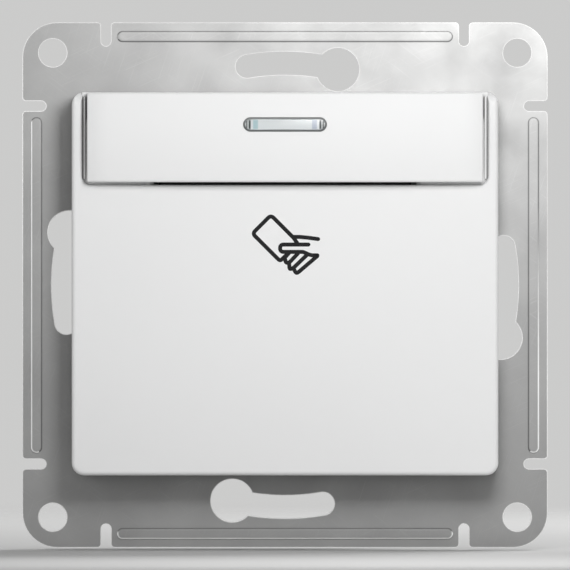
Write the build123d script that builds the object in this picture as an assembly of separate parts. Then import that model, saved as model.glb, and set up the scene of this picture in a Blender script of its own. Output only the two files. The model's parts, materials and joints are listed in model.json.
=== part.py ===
from build123d import *
import os
from math import asin, cos, degrees, pi, radians, sin

# Wall-mounted key card switch: steel support plate, white cover with a card pocket,
# a sprung card lever that flips a changeover contact, and a rear housing with the terminals.
# Millimetres. X is right, Y goes into the wall, Z is up. The plate's rear face is y = 0.

# Support plate, pressed from zinc-plated steel sheet
plate_side = 71.0
plate_sheet = 1.0
plate_corner = 4.7
window_half_width = 21.3
window_half_height = 22.65
window_corner = 1.5
corner_hole_offset = 31.4
corner_hole_radius = 1.92
screw_circle_radius = 30.0
key_head_radius = 2.93
key_head_angle = 76.25
key_slot_sweep = 23.6
key_slot_width = 3.13
notch_offset = 24.2
notch_width = 1.36
notch_depth = 3.2
notch_mouth_radius = 0.5
bead_offset = 33.6
bead_length = 45.4
bead_width = 1.5
bead_height = 0.45
bead_groove_width = 0.8
tab_offset = 11.0
tab_width = 7.0
tab_reach = 6.0
tab_corner = 1.0
tab_bend_radius = 0.4
tab_hole_width = 3.6
tab_hole_height = 2.0
tab_hole_depth = 3.6

# Cover plate, moulded in glossy white plastic
cover_width = 57.5
cover_height = 51.65
cover_lift = 0.15
cover_corner = 1.7
cover_inner_corner = 0.8
cover_front = -10.0
cover_rim = -2.0
cover_wall = 1.5
cover_skin = 1.8
cover_edge_round = 0.55
cover_top_round = 1.7
recess_half_width = 27.35
recess_floor = -9.4
recess_bottom = 13.5
recess_corner = 1.2
recess_skin = 1.6
recess_lip_round = 0.35
runner_offset = 26.92
runner_width = 0.22
runner_front = -9.9
runner_bottom = 14.3
runner_top = 25.4
nose_window_width = 35.4
nose_window_top = 19.4
nose_window_chamfer = 0.5
guide_window_length = 10.6
guide_window_height = 2.4
rib_thickness = 1.0
rib_offset = 22.0
rib_back = -6.6
cross_rib_back = -7.2
cross_rib_z = -14.0

# Snap catches between the cover and the carrier
snap_offset = 14.0
snap_half_length = 2.5
snap_bite = 0.75
snap_toe = -4.2
snap_crest = -5.0
snap_heel = -5.4
catch_half_length = 3.0
catch_inset = 2.4
catch_neck = 1.0
catch_gap = 0.35
catch_back = -5.6
catch_crest = -6.2
catch_front = -6.8
catch_lead = 1.1

# Card hood: the lip that the card slides up behind
hood_half_width = 26.65
hood_bottom = 13.85
hood_top = 25.9
hood_front = -12.9
hood_rear = -11.0
hood_crown_across = 0.4
hood_crown_upright = 0.35
hood_shoulder_width = 2.7
hood_shoulder_radius = 10.0
hood_edge_round = 0.3
hood_end_round = 0.18
hood_lead_depth = 0.4
hood_lead_height = 1.0
hood_stop_bottom = 22.4
stop_relief_height = 1.4
stop_relief_half_width = 12.5
nose_pocket_half_width = 18.0
nose_pocket_depth = 0.8
nose_pocket_low = 15.4
nose_pocket_high = 19.3
peg_radius = 0.9
peg_head_radius = 1.25
peg_head_depth = 0.7
peg_height = 23.15
peg_offsets = (-23.0, -16.0, 16.0, 23.0)

# Indicator: lens in the hood, light guide behind the recess floor
lens_height = 21.6
lens_length = 11.28
lens_width = 1.94
lens_bevel = 0.28
lens_flange_length = 12.9
lens_flange_width = 3.2
lens_flange_depth = 0.55
lens_groove_offsets = (-5.15, -4.77, 4.77, 5.15)
lens_groove_width = 0.22
lens_groove_front = -12.3
prism_inner = 3.6
prism_outer = 4.3
prism_depth = 0.5
guide_length = 10.2
guide_width = 2.0
guide_back = -5.4
guide_flange_front = -7.7
guide_flange_back = -6.9
guide_flange_ledge = 0.5
guide_flange_wing = 1.7
guide_leg_offset = 6.0
guide_leg_radius = 0.6
lamp_hollow_radius = 0.8
lamp_hollow_y = -5.2

# Circuit board with the lamp and its resistor
board_front = -3.8
board_z = 20.5
board_length = 20.6
board_height = 6.2
board_corner = 0.5
board_post_offset = 8.6
board_post_z = 22.3
board_post_radius = 0.8
board_post_front = -4.4
pin_offsets = (-4.3, 4.5)
pin_backs = (0.95, 9.15)
pin_z = 18.2
pin_radius = 0.35
pin_head_radius = 0.6
pin_hole_radius = 0.4
lamp_front = -4.4
lamp_half_length = 1.6
lamp_half_height = 1.0
lamp_dome_radius = 0.75
resistor_x = 0.2
resistor_y = -4.75
resistor_z = 19.6
resistor_half_length = 2.4
resistor_end_radius = 0.9
resistor_waist_radius = 0.75
resistor_rim = 0.3
resistor_cap = 1.0
lead_offset = 3.0
lead_radius = 0.25

# Carrier in front of the plate
carrier_side = 48.0
carrier_corner = 3.0
carrier_front = -2.6
carrier_back = -1.0
carrier_notch_start = 20.9
carrier_notch_height = 8.4
carrier_rim_wall = 1.1
carrier_rim_back = 0.6
plunger_tube_radius = 3.0
plunger_tube_back = 1.5
plunger_clearance = 0.08
bearing_inner = 17.6
bearing_outer = 19.4
bearing_radius = 2.2
stop_offset = 10.0
stop_front = -3.15
stop_low = 13.4
stop_high = 15.0
rest_offset = 12.0
rest_front = -4.5
rest_low = -1.9
rest_high = -0.9
stop_half_width = 1.2
spring_hollow_half_width = 3.4
spring_hollow_depth = 0.55
spring_hollow_low = -4.6
spring_hollow_high = 6.6
carrier_pin_hole = 0.55
fit_gap = 0.15

# Screws that join the carrier to the rear housing
joint_screw_offset = 15.4
joint_screw_radius = 1.0
joint_screw_tip = 7.0
joint_head_radius = 2.05
joint_head_neck = 1.1
joint_head_depth = 0.9
joint_hole_radius = 1.25
joint_slot_length = 2.2
joint_slot_width = 0.45
joint_slot_depth = 0.55
boss_radius = 2.4
boss_front = 0.8
boss_back = 9.0
boss_hole_back = 8.0

# Rear housing
housing_side = 41.8
housing_chamfer = 4.0
housing_chamfer_inset = 0.6
housing_back = 24.0
housing_wall = 1.5
housing_draft = 0.5
housing_back_round = 0.8
pocket_floor = 16.2
pocket_half_height = 4.6
pocket_wall = 1.2
partition_front = 10.2
partition_back = 11.4
partition_top = -6.4
divider_offset = 6.5
divider_half = 0.6
divider_top = -4.6
shelf_front = 20.2
shelf_depth = 1.6
funnel_flare = 0.7
driver_hole_radius = 2.0
spring_seat_y = 11.1
spring_seat_radius = 2.4
spring_stub_radius = 1.0
spring_stub_front = 9.2
house_catch_front = 2.8
house_catch_back = 4.4
house_catch_proud = 0.55
house_catch_half = 1.5

# Card lever and what it drives
lever_pivot_y = -4.6
lever_pivot_z = 2.0
lever_half_width = 17.0
lever_boss_radius = 2.0
lever_thickness = 1.6
lever_tail = 4.4
lever_shoulder_z = 14.0
lever_pin_radius = 1.0
lever_pin_reach = 19.6
lever_pin_chamfer = 0.2
nose_half_width = 17.4
nose_back_y = -6.4
nose_back_low = 16.4
nose_back_high = 18.1
nose_top_y = -7.4
nose_top_z = 18.2
nose_ramp_y = -11.2
nose_ramp_z = 17.5
nose_tip_y = -11.55
nose_tip_z = 16.9
nose_chin_y = -11.4
nose_chin_z = 16.3
nose_throat_y = -8.2
nose_throat_z = 14.35
lever_heel_z = 14.9
nose_hollow_offsets = (-13.2, -8.0, -2.7, 2.7, 8.0, 13.2)
nose_hollow_half = 2.1
nose_hollow_front = -9.6
nose_hollow_low = 15.2
nose_hollow_high = 17.0
spring_opening_half = 3.6
spring_opening_top = 5.4
lever_coil_radius = 1.75
lever_wire_radius = 0.25
lever_coil_pitch = 0.85
lever_coil_turns = 4 + 13 / 360
lever_low_leg = 5.0
lever_high_leg = 5.6
plunger_z = 8.5
plunger_radius = 1.6
plunger_back = 2.4
plunger_nose_round = 0.7
plunger_collar_radius = 2.4
plunger_collar_front = 1.6
plunger_tip_radius = 0.6

# Changeover contact
blade_y = 4.4
blade_z = 5.9
blade_thickness = 0.8
blade_width = 5.0
blade_top = 18.2
blade_top_round = 1.5
blade_waist_z = 9.2
blade_waist_radius = 1.3
blade_waist_inset = 0.6
blade_stub_height = 1.2
contact_z = 16.5
contact_radius = 1.5
contact_chamfer = 0.3
contact_height = 0.8
first_contact = (2.0, 3.12)
third_contact = (8.72, 9.6)
contact_spring_z = 12.0
contact_coil_radius = 1.6
contact_coil_turns = 5.5
contact_wire_radius = 0.2
spring_play = 0.02
running_gap = 0.05

# Terminals: three screws along the bottom, wires from behind
terminal_offsets = (-13.0, 0.0, 13.0)
strip = 1.0
foot_width = 5.0
foot_top = -11.4
foot_front = 11.5
foot_back = 22.0
serration_pitch = 1.4
serration_width = 0.4
serration_depth = 0.25
riser_inner = 11.0
riser_outer = 14.8
arm_inner = 4.0
arm_low = 14.5
arm_high = 18.6
contact_tab_end = 2.5
first_tab_front = 1.0
third_tab_front = 9.6
cradle_front = 3.2
cradle_back = 5.6
cradle_low = 0.2
cradle_high = 5.7
cradle_clearance = 0.2
clamp_y = 16.5
clamp_depth = 6.0
clamp_width = 7.0
clamp_wall = 0.8
clamp_corner = 0.6
clamp_low = -15.2
clamp_high = -6.0
clamp_sill = 1.4
clamp_lintel = 1.2
clamp_ridge = 0.5
clamp_ridge_half = 2.0
screw_radius = 1.5
terminal_head_low = -19.2
terminal_head_height = 1.6
terminal_head_radius = 2.5
terminal_head_round = 0.3
terminal_slot_width = 0.8
terminal_slot_depth = 0.8
wire_hole_radius = 1.8
wire_z = -9.4

# Claws that brace the switch in its wall box
claw_pivot_x = 18.6
claw_pivot_y = 3.5
claw_pin_radius = 1.0
claw_pin_half = 6.0
claw_eye_radius = 2.1
claw_sheet = 1.5
claw_half_height = 4.3
claw_arm_length = 17.0
claw_bend = 3.0
claw_tooth_reach = 3.4
claw_tooth_flat = 0.8
claw_tooth_front = 0.6
claw_tooth_back = 0.4
claw_outer_bend = 1.6
claw_lug_tilt = 12.0
claw_lug_reach = 8.2
claw_lug_start = 3.2
claw_lug_half_height = 3.4
claw_screw_arm = 6.0
claw_screw_hole = 1.95
claw_screw_x = 24.53
claw_screw_tip = 12.5
claw_tip_chamfer = 0.5
claw_head_radius = 2.4
claw_head_height = 1.9
claw_head_round = 0.7
claw_slot_length = 2.8
claw_slot_width = 0.7
claw_slot_depth = 1.0
tooth_gap_low = 0.9
tooth_gap_high = 2.3

# How far a cut runs past a face, and how far joined pieces run into each other
past = 1.0
bite = 0.2
near = 0.01


def slab(profile, front, back):
    """A solid with this front-view profile, from one depth to another."""
    plane = Plane((0, back, 0), x_dir=(1, 0, 0), z_dir=(0, -1, 0))
    return extrude(plane * profile, back - front)


def side_bar(profile, left, right):
    """A solid with this side-view (Y, Z) profile, from x = left to x = right."""
    return extrude(Plane.YZ.offset(left) * profile, right - left)


def plan_bar(profile, low, high):
    """A solid with this plan-view (X, Y) profile, from z = low to z = high."""
    return extrude(Plane.XY.offset(low) * profile, high - low)


def block(x, y, z):
    """A box from three (low, high) pairs."""
    corner = (Align.MIN, Align.MIN, Align.MIN)
    return Pos(x[0], y[0], z[0]) * Box(x[1] - x[0], y[1] - y[0], z[1] - z[0], align=corner)


def rod(radius, x, z, front, back):
    """A round rod along Y."""
    return slab(Pos(x, z) * Circle(radius), front, back)


def post(radius, x, y, low, high):
    """A round rod upright."""
    return plan_bar(Pos(x, y) * Circle(radius), low, high)


def beam(radius, y, z, left, right):
    """A round rod along X."""
    return side_bar(Pos(y, z) * Circle(radius), left, right)


def cone_back(front_radius, back_radius, depth):
    """A cone along Y, its front end at y = 0."""
    upright = Cone(front_radius, back_radius, depth, align=(Align.CENTER, Align.CENTER, Align.MIN))
    return Rot(-90, 0, 0) * upright


def shape_from(*points):
    """A flat shape with these corners."""
    return make_face(Polyline(*points, close=True))


def about(middle, half):
    """The (low, high) pair this far either side of a middle."""
    return (middle - half, middle + half)


def mirrored_pair(side, inner, outer):
    """The (low, high) pair of a span that lies on one side of the centre plane."""
    return tuple(sorted((side * inner, side * outer)))


def quarters(shape):
    """The four copies of a front-view shape, a quarter turn apart."""
    return [Rot(0, 0, -90 * turn) * shape for turn in range(4)]


def plate_outline():
    face = RectangleRounded(plate_side, plate_side, plate_corner)
    edge = plate_side / 2
    round_end = edge - notch_depth + notch_width / 2
    notch = Pos(0, edge) * Rectangle(notch_width, 2 * (edge - round_end))
    notch += Pos(0, round_end) * Circle(notch_width / 2)
    for side in (-notch_offset, notch_offset):
        for cut in quarters(Pos(side, 0) * notch):
            face -= cut
    mouths = []
    for corner in face.vertices():
        short, long = sorted((abs(corner.X), abs(corner.Y)))
        if long > edge - near and abs(short - notch_offset) < notch_width:
            mouths.append(corner)
    return fillet(mouths, notch_mouth_radius)


def keyhole():
    arc = CenterArc((0, 0), screw_circle_radius, key_head_angle, key_slot_sweep)
    angle = radians(key_head_angle)
    head = Pos(screw_circle_radius * cos(angle), screw_circle_radius * sin(angle))
    return SlotArc(arc, key_slot_width) + head * Circle(key_head_radius)


def window_tab():
    """A tab bent back from the upper edge of the window, with its catch hole."""
    bend = Pos(tab_bend_radius, window_half_height)
    ring = Circle(tab_bend_radius + plate_sheet) - Circle(tab_bend_radius)
    reach = 2 * (tab_bend_radius + plate_sheet)
    corner = ring & (Pos(-reach / 2, -reach / 2) * Rectangle(reach, reach))
    profile = bend * corner
    low = window_half_height - tab_bend_radius - plate_sheet
    length = tab_reach - tab_bend_radius
    flat = Pos(tab_bend_radius + length / 2, low + plate_sheet / 2)
    profile += flat * Rectangle(length, plate_sheet)
    tab = side_bar(profile, *about(0, tab_width / 2))
    ends = tab.edges().filter_by(Axis.Z).sort_by(Axis.Y)[-2:]
    tab = fillet(ends, tab_corner)
    hole_depth = about(tab_hole_depth, tab_hole_height / 2)
    return tab - block(about(0, tab_hole_width / 2), hole_depth, (low - past, low + plate_sheet + past))


def bead_ridge():
    """One pressed bead along the top side, proud at the front."""
    crest_y = -plate_sheet - bead_height
    outline = Pos(0, bead_offset) * SlotOverall(bead_length, bead_width)
    ridge = slab(outline, crest_y, -plate_sheet / 2)
    crest = ridge.faces().sort_by(Axis.Y)[0].edges()
    return fillet(crest, bead_height * 0.9)


def support_plate():
    face = plate_outline()
    face -= RectangleRounded(2 * window_half_width, 2 * window_half_height, window_corner)
    for cut in quarters(keyhole()):
        face -= cut
    for x in (-corner_hole_offset, corner_hole_offset):
        for z in (-corner_hole_offset, corner_hole_offset):
            face -= Pos(x, z) * Circle(corner_hole_radius)
    for x in (-claw_screw_x, claw_screw_x):
        face -= Pos(x, 0) * Circle(screw_radius + fit_gap)
    plate = slab(face, -plate_sheet, 0)
    ridge = bead_ridge()
    groove_outline = SlotOverall(bead_length - bead_width / 2, bead_groove_width)
    groove = slab(Pos(0, bead_offset) * groove_outline, -bead_height, past)
    for turn in range(4):
        plate += Rot(0, 90 * turn, 0) * ridge
        plate -= Rot(0, 90 * turn, 0) * groove
    tab = window_tab()
    for x in (-tab_offset, tab_offset):
        plate += Pos(x, 0, 0) * tab
        plate += Rot(0, 180, 0) * (Pos(x, 0, 0) * tab)
    return plate


def cover_shell():
    outline = Pos(0, cover_lift) * RectangleRounded(cover_width, cover_height, cover_corner)
    shell = slab(outline, cover_front, cover_rim)
    front = shell.faces().sort_by(Axis.Y)[0]
    top = front.edges().sort_by(Axis.Z)[-1]
    shell = fillet([edge for edge in front.edges() if edge != top], cover_edge_round)
    width = cover_width - 2 * cover_wall
    height = cover_height - 2 * cover_wall
    inner = Pos(0, cover_lift) * RectangleRounded(width, height, cover_inner_corner)
    return shell - slab(inner, cover_front + cover_skin, cover_rim + past)


def recess_cut():
    """What is cut away for the hood: open at the top, with rounded lower corners."""
    top = cover_lift + cover_height / 2 + past
    tall = top - recess_bottom
    profile = Pos(0, (top + recess_bottom) / 2) * Rectangle(2 * recess_half_width, tall)
    low = profile.vertices().sort_by(Axis.Y)[:2]
    return slab(fillet(low, recess_corner), cover_front - past, recess_floor)


def rim_round(side):
    """What is cut away to round the upper front of one rim beside the hood."""
    top = cover_lift + cover_height / 2
    corner = (cover_front + cover_top_round / 2, top - cover_top_round / 2)
    square = Pos(*corner) * Rectangle(cover_top_round, cover_top_round)
    centre = Pos(cover_front + cover_top_round, top - cover_top_round)
    profile = square - centre * Circle(cover_top_round)
    return side_bar(profile, *mirrored_pair(side, recess_half_width - near, cover_width / 2 + past))


def snap_nose(wall):
    """A nose inside the cover's top wall that catches behind a carrier post."""
    profile = shape_from(
        (snap_toe, wall + bite),
        (snap_toe, wall - bite / 2),
        (snap_crest, wall - snap_bite),
        (snap_heel, wall - snap_bite),
        (snap_heel, wall + bite),
    )
    return side_bar(profile, -snap_half_length, snap_half_length)


def window_chamfer(side):
    """The wedge cut from one end of the nose window at the recess floor."""
    wall = side * nose_window_width / 2
    wedge = shape_from(
        (wall, recess_floor - near),
        (wall + side * (nose_window_chamfer + near), recess_floor - near),
        (wall, recess_floor + nose_window_chamfer),
    )
    return plan_bar(wedge, recess_bottom, nose_window_top)


def cover_plate():
    shell = cover_shell()
    skin_back = cover_front + cover_skin - bite / 2
    pad_back = recess_floor + recess_skin
    inner_top = cover_lift + cover_height / 2 - cover_wall
    inner_low = cover_lift - cover_height / 2 + cover_wall
    pad_width = about(0, recess_half_width + bite / 2)
    shell += block(pad_width, (skin_back, pad_back), (recess_bottom - recess_skin, inner_top))
    shell -= recess_cut()
    lip = shell.edges().filter_by(Axis.X)
    lip = lip.filter_by_position(Axis.Z, recess_bottom - near, recess_bottom + near)
    lip = lip.filter_by_position(Axis.Y, cover_front - near, cover_front + near)
    shell = fillet(lip, recess_lip_round)
    for side in (-1, 1):
        shell -= rim_round(side)
        # runner beside the hood, for the edge of the card
        ends = mirrored_pair(side, runner_offset, runner_offset + runner_width)
        shell += block(ends, (runner_front, recess_floor + bite), (runner_bottom, runner_top))
    # window for the nose of the lever
    tall = nose_window_top - recess_bottom
    window = Pos(0, recess_bottom + tall / 2) * Rectangle(nose_window_width, tall)
    shell -= slab(window, recess_floor - past, pad_back + past)
    for side in (-1, 1):
        shell -= window_chamfer(side)
    guide_window = Pos(0, lens_height) * SlotOverall(guide_window_length, guide_window_height)
    shell -= slab(guide_window, recess_floor - past, pad_back + past)
    for x in peg_offsets:
        shell -= rod(peg_radius + running_gap, x, peg_height, recess_floor - past, pad_back + past)
    for x in (-snap_offset, snap_offset):
        shell += Pos(x, 0, 0) * snap_nose(inner_top)
        shell += mirror(Pos(x, 0, 0) * snap_nose(-inner_low), Plane.XY)
    # moulded ribs that keep the large front wall flat
    half = rib_thickness / 2
    rib_height = (inner_low - bite / 2, recess_bottom - rib_thickness)
    for x in (-rib_offset, rib_offset):
        shell += block(about(x, half), (skin_back, rib_back), rib_height)
    shell += block(about(0, rib_offset), (skin_back, cross_rib_back), about(cross_rib_z, half))
    return shell


def arc_radius(half_chord, rise):
    """Radius of the arc that rises this much over this half chord."""
    return (half_chord**2 + rise**2) / (2 * rise)


def crown_profile():
    """Side view of what lies behind the hood's front: an arc, closed well behind it."""
    middle = (hood_bottom + hood_top) / 2
    half = (hood_top - hood_bottom) / 2
    radius = arc_radius(half, hood_crown_upright)
    reach = half + 2 * past
    drop = radius - (radius**2 - reach**2) ** 0.5
    edge = hood_front + drop
    rear = hood_front + hood_shoulder_radius / 2
    low, high = about(middle, reach)
    front = ThreePointArc((edge, low), (hood_front, middle), (edge, high))
    return make_face(front + Polyline((edge, high), (rear, high), (rear, low), (edge, low)))


def crown_solid():
    """Everything behind the hood's front, which is crowned across and rolls off at its ends."""
    across = arc_radius(hood_half_width, hood_crown_across)
    turn = asin((hood_half_width - hood_shoulder_width) / across)
    axis = Axis((0, hood_front + across, 0), (0, 0, 1))
    face = Plane.YZ * crown_profile()
    middle = revolve(face.rotate(axis, -degrees(turn)), axis, 2 * degrees(turn))
    # the ends swing round a much nearer axis, so that they stay tangent to the middle
    inner = across - hood_shoulder_radius
    centre = (inner * sin(turn), hood_front + across - inner * cos(turn), 0)
    end = revolve(face.rotate(axis, degrees(turn)), Axis(centre, (0, 0, 1)), 60)
    return middle + end + mirror(end, Plane.YZ)


def hood_blank():
    """The lip and the stop that the card runs against, before their front is shaped."""
    wide = about(0, hood_half_width)
    lip = block(wide, (hood_front - past, hood_rear), (hood_bottom, hood_top))
    depth = (hood_rear - bite, recess_floor)
    stop = block(wide, depth, (hood_stop_bottom + stop_relief_height, hood_top))
    for side in (-1, 1):
        ends = mirrored_pair(side, stop_relief_half_width, hood_half_width)
        stop += block(ends, depth, (hood_stop_bottom, hood_top))
    lead_in = shape_from(
        (hood_rear + near, hood_bottom - near),
        (hood_rear + near, hood_bottom + hood_lead_height),
        (hood_rear - hood_lead_depth, hood_bottom - near),
    )
    return lip + stop - side_bar(lead_in, *wide)


def rounded_hood():
    body = hood_blank() & crown_solid()
    limit = hood_rear - hood_lead_depth - 2 * bite / 3
    front = [edge for edge in body.edges() if edge.center().Y < limit]
    body = fillet([edge for edge in front if abs(edge.tangent_at(0.5).X) > 0.8], hood_edge_round)
    ends = [edge for edge in body.edges() if abs(edge.center().X) > hood_half_width - near]
    return fillet([edge for edge in ends if edge.center().Y < limit], hood_end_round)


def card_hood():
    body = rounded_hood()
    pocket_height = (nose_pocket_low, nose_pocket_high)
    pocket_depth = (hood_rear - nose_pocket_depth, hood_rear + past)
    body -= block(about(0, nose_pocket_half_width), pocket_depth, pocket_height)
    lens_place = Pos(0, lens_height)
    body -= slab(lens_place * SlotOverall(lens_length, lens_width), hood_front - past, hood_rear + past)
    seat = SlotOverall(lens_flange_length + 2 * running_gap, lens_flange_width + 2 * running_gap)
    body -= slab(lens_place * seat, hood_rear - lens_flange_depth - running_gap, hood_rear + past)
    back = recess_floor + recess_skin
    for x in peg_offsets:
        body += rod(peg_radius, x, peg_height, recess_floor - bite, back)
        body += rod(peg_head_radius, x, peg_height, back, back + peg_head_depth)
    return body


def indicator_lens():
    """Clear lens with a bevelled rim, a flange, and grooves and prisms cut in from behind."""
    place = Pos(0, lens_height)
    outline = SlotOverall(lens_length - running_gap, lens_width - running_gap)
    stem = slab(place * outline, hood_front - past, hood_rear - 2 * bite) & crown_solid()
    stem = chamfer(stem.faces().sort_by(Axis.Y)[0].edges(), lens_bevel)
    back = hood_rear - running_gap
    flange = SlotOverall(lens_flange_length, lens_flange_width)
    lens = stem + slab(place * flange, hood_rear - lens_flange_depth, back)
    height = about(lens_height, lens_width / 2 - lens_bevel)
    for x in lens_groove_offsets:
        lens -= block(about(x, lens_groove_width / 2), (lens_groove_front, back + past), height)
    for side in (-1, 1):
        prism = shape_from(
            (side * prism_inner, back + near),
            (side * prism_outer, back + near),
            (side * (prism_inner + prism_outer) / 2, back - prism_depth),
        )
        lens -= plan_bar(prism, *height)
    return lens


def light_guide():
    """Clear bar with a flange behind the cover, hollowed at the rear over the lamp."""
    place = Pos(0, lens_height)
    guide = slab(place * SlotOverall(guide_length, guide_width), recess_floor + running_gap, guide_back)
    wing = guide_length + 2 * guide_flange_wing
    ledge = guide_width + 2 * guide_flange_ledge
    guide += slab(place * SlotOverall(wing, ledge), guide_flange_front, guide_flange_back)
    for x in (-guide_leg_offset, guide_leg_offset):
        guide += rod(guide_leg_radius, x, lens_height, guide_flange_back - bite / 2, board_front)
    return guide - Pos(0, lamp_hollow_y, lens_height) * Sphere(lamp_hollow_radius)


def led_board():
    outline = Pos(0, board_z) * RectangleRounded(board_length, board_height, board_corner)
    board = slab(outline, board_front, carrier_front)
    for x in (-board_post_offset, board_post_offset):
        board -= rod(board_post_radius + running_gap, x, board_post_z, board_front - past, 0)
    for x in pin_offsets:
        board -= rod(pin_hole_radius, x, pin_z, board_front - past, 0)
    return board


def led_lamp():
    height = about(lens_height, lamp_half_height)
    base = block(about(0, lamp_half_length), (lamp_front, board_front), height)
    dome = Pos(0, lamp_front, lens_height) * Sphere(lamp_dome_radius)
    front_half = block(about(0, lamp_half_length), (lamp_front - past, lamp_front + near), height)
    return base + (dome & front_half)


def led_resistor():
    """A small resistor lying on the board, waisted between its two ends."""
    end = resistor_half_length
    rim = end - resistor_rim
    cap = end - resistor_cap
    waist = cap - resistor_rim
    upper = [(0, end), (resistor_waist_radius, end), (resistor_end_radius, rim)]
    upper += [(resistor_end_radius, cap), (resistor_waist_radius, waist)]
    lower = [(radius, -place) for radius, place in reversed(upper)]
    body = revolve(Plane.XY * shape_from(*upper, *lower), Axis.Y, 360)
    body = Pos(resistor_x, resistor_y, resistor_z) * (Rot(0, 0, 90) * body)
    for side in (-1, 1):
        x = resistor_x + side * lead_offset
        inside = resistor_x + side * rim
        body += beam(lead_radius, resistor_y, resistor_z, *sorted((x, inside)))
        body += rod(lead_radius, x, resistor_z, resistor_y - lead_radius, board_front)
    return body


def board_pin(x, back):
    front = board_front - pin_radius
    return rod(pin_radius, x, pin_z, front, back) + rod(pin_head_radius, x, pin_z, front, board_front)


def board_pins():
    """Two pins from the board to the first and third terminals."""
    return Compound(children=[board_pin(x, back) for x, back in zip(pin_offsets, pin_backs)])


def housing_outline(inset):
    side = housing_side - 2 * inset
    return chamfer(Rectangle(side, side).vertices(), housing_chamfer - inset * housing_chamfer_inset)


def cavity_outline(inset):
    """The housing's inside in front view, stepped in beside the claw pockets."""
    face = housing_outline(housing_wall + inset)
    step = pocket_floor - pocket_wall - inset
    half = pocket_half_height + pocket_wall + inset
    wide = housing_side / 4
    for side in (-1, 1):
        face -= Pos(side * (step + wide / 2), 0) * Rectangle(wide, 2 * half)
    return face


def lever_bearing(side):
    """A lug on the carrier that holds one end of the lever's pin."""
    foot = carrier_front + bite
    profile = Pos(lever_pivot_y, lever_pivot_z) * Circle(bearing_radius)
    middle = Pos((lever_pivot_y + foot) / 2, lever_pivot_z)
    profile += middle * Rectangle(foot - lever_pivot_y, 2 * bearing_radius)
    profile -= Pos(lever_pivot_y, lever_pivot_z) * Circle(lever_pin_radius)
    return side_bar(profile, *mirrored_pair(side, bearing_inner, bearing_outer))


def carrier_catch(wall):
    """A post on the carrier that the cover's nose snaps over, at the upper wall."""
    foot = carrier_front + bite / 2
    return shape_from(
        (foot, wall - catch_inset),
        (foot, wall - catch_neck),
        (catch_back, wall - catch_neck),
        (catch_back, wall - catch_gap),
        (catch_crest, wall - catch_gap),
        (catch_front, wall - catch_lead),
        (catch_front, wall - catch_inset),
    )


def mechanism_carrier():
    face = RectangleRounded(carrier_side, carrier_side, carrier_corner)
    notch_depth_across = carrier_side / 4
    for side in (-1, 1):
        place = Pos(side * (carrier_notch_start + notch_depth_across / 2), 0)
        face -= place * Rectangle(notch_depth_across, carrier_notch_height)
    carrier = slab(face, carrier_front, carrier_back)
    rim = cavity_outline(fit_gap) - cavity_outline(fit_gap + carrier_rim_wall)
    carrier += slab(rim, carrier_back - bite, carrier_rim_back)
    # tube that guides the plunger
    carrier += rod(plunger_tube_radius, 0, plunger_z, carrier_back - bite, plunger_tube_back)
    bore = plunger_radius + plunger_clearance
    carrier -= rod(bore, 0, plunger_z, carrier_front - past, plunger_tube_back + past)
    foot = carrier_front + bite
    for side in (-1, 1):
        carrier += lever_bearing(side)
        # stop for the pressed lever, and rest for its tail
        stop_width = about(side * stop_offset, stop_half_width)
        carrier += block(stop_width, (stop_front, foot), (stop_low, stop_high))
        rest_width = about(side * rest_offset, stop_half_width)
        carrier += block(rest_width, (rest_front, foot), (rest_low, rest_high))
    # hollow for the torsion spring
    hollow_depth = (carrier_front - past, carrier_front + spring_hollow_depth)
    hollow_height = (spring_hollow_low, spring_hollow_high)
    carrier -= block(about(0, spring_hollow_half_width), hollow_depth, hollow_height)
    upper = carrier_catch(cover_height / 2 - cover_wall + cover_lift)
    lower = carrier_catch(cover_height / 2 - cover_wall - cover_lift)
    for x in (-snap_offset, snap_offset):
        carrier += side_bar(upper, *about(x, catch_half_length))
        carrier += mirror(side_bar(lower, *about(x, catch_half_length)), Plane.XY)
    # board posts, pin holes and screw seats
    for x in (-board_post_offset, board_post_offset):
        carrier += rod(board_post_radius, x, board_post_z, board_post_front, foot)
    for x in pin_offsets:
        carrier -= rod(carrier_pin_hole, x, pin_z, carrier_front - past, carrier_rim_back + past)
    seat = cone_back(joint_head_radius + 2 * running_gap, joint_hole_radius, joint_head_depth)
    for x, z in screw_places():
        carrier -= rod(joint_hole_radius, x, z, carrier_front - past, carrier_rim_back + past)
        carrier -= Pos(x, carrier_front, z) * seat
    return carrier


def screw_places():
    offsets = (-joint_screw_offset, joint_screw_offset)
    return [(x, z) for x in offsets for z in offsets]


def housing_screw(x, z):
    """A countersunk screw, its cross slot open to the front."""
    head = cone_back(joint_head_radius, joint_head_neck, joint_head_depth)
    screw = Pos(x, carrier_front + running_gap, z) * head
    neck = carrier_front + joint_head_depth - bite / 2
    screw += rod(joint_screw_radius, x, z, neck, joint_screw_tip)
    slot = Box(joint_slot_length, 2 * joint_slot_depth, joint_slot_width)
    for turn in (0, 90):
        screw -= Pos(x, carrier_front, z) * (Rot(0, turn, 0) * slot)
    return screw


def housing_screws():
    return Compound(children=[housing_screw(x, z) for x, z in screw_places()])


def screw_bosses(inner):
    """Posts in the housing's corners for the carrier's screws, braced against the walls."""
    bosses = []
    limit = slab(housing_outline(housing_wall / 3), carrier_back, inner)
    for x, z in screw_places():
        boss = rod(boss_radius, x, z, boss_front, boss_back)
        brace = block(sorted((x, x * 1.28)), (boss_front, boss_back), sorted((z, z * 1.1)))
        bosses.append((boss + brace) & limit)
    return bosses


def terminal_partitions(inner):
    """Walls between the terminals and in front of them."""
    floor = -housing_side / 2 + housing_wall - bite
    half = housing_side / 2
    walls = block((-half, half), (partition_front, partition_back), (floor, partition_top))
    for x in (-divider_offset, divider_offset):
        walls += block(about(x, divider_half), (partition_front, inner + bite / 2), (floor, divider_top))
    return walls & slab(housing_outline(housing_wall - bite), 0, housing_back)


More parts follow.
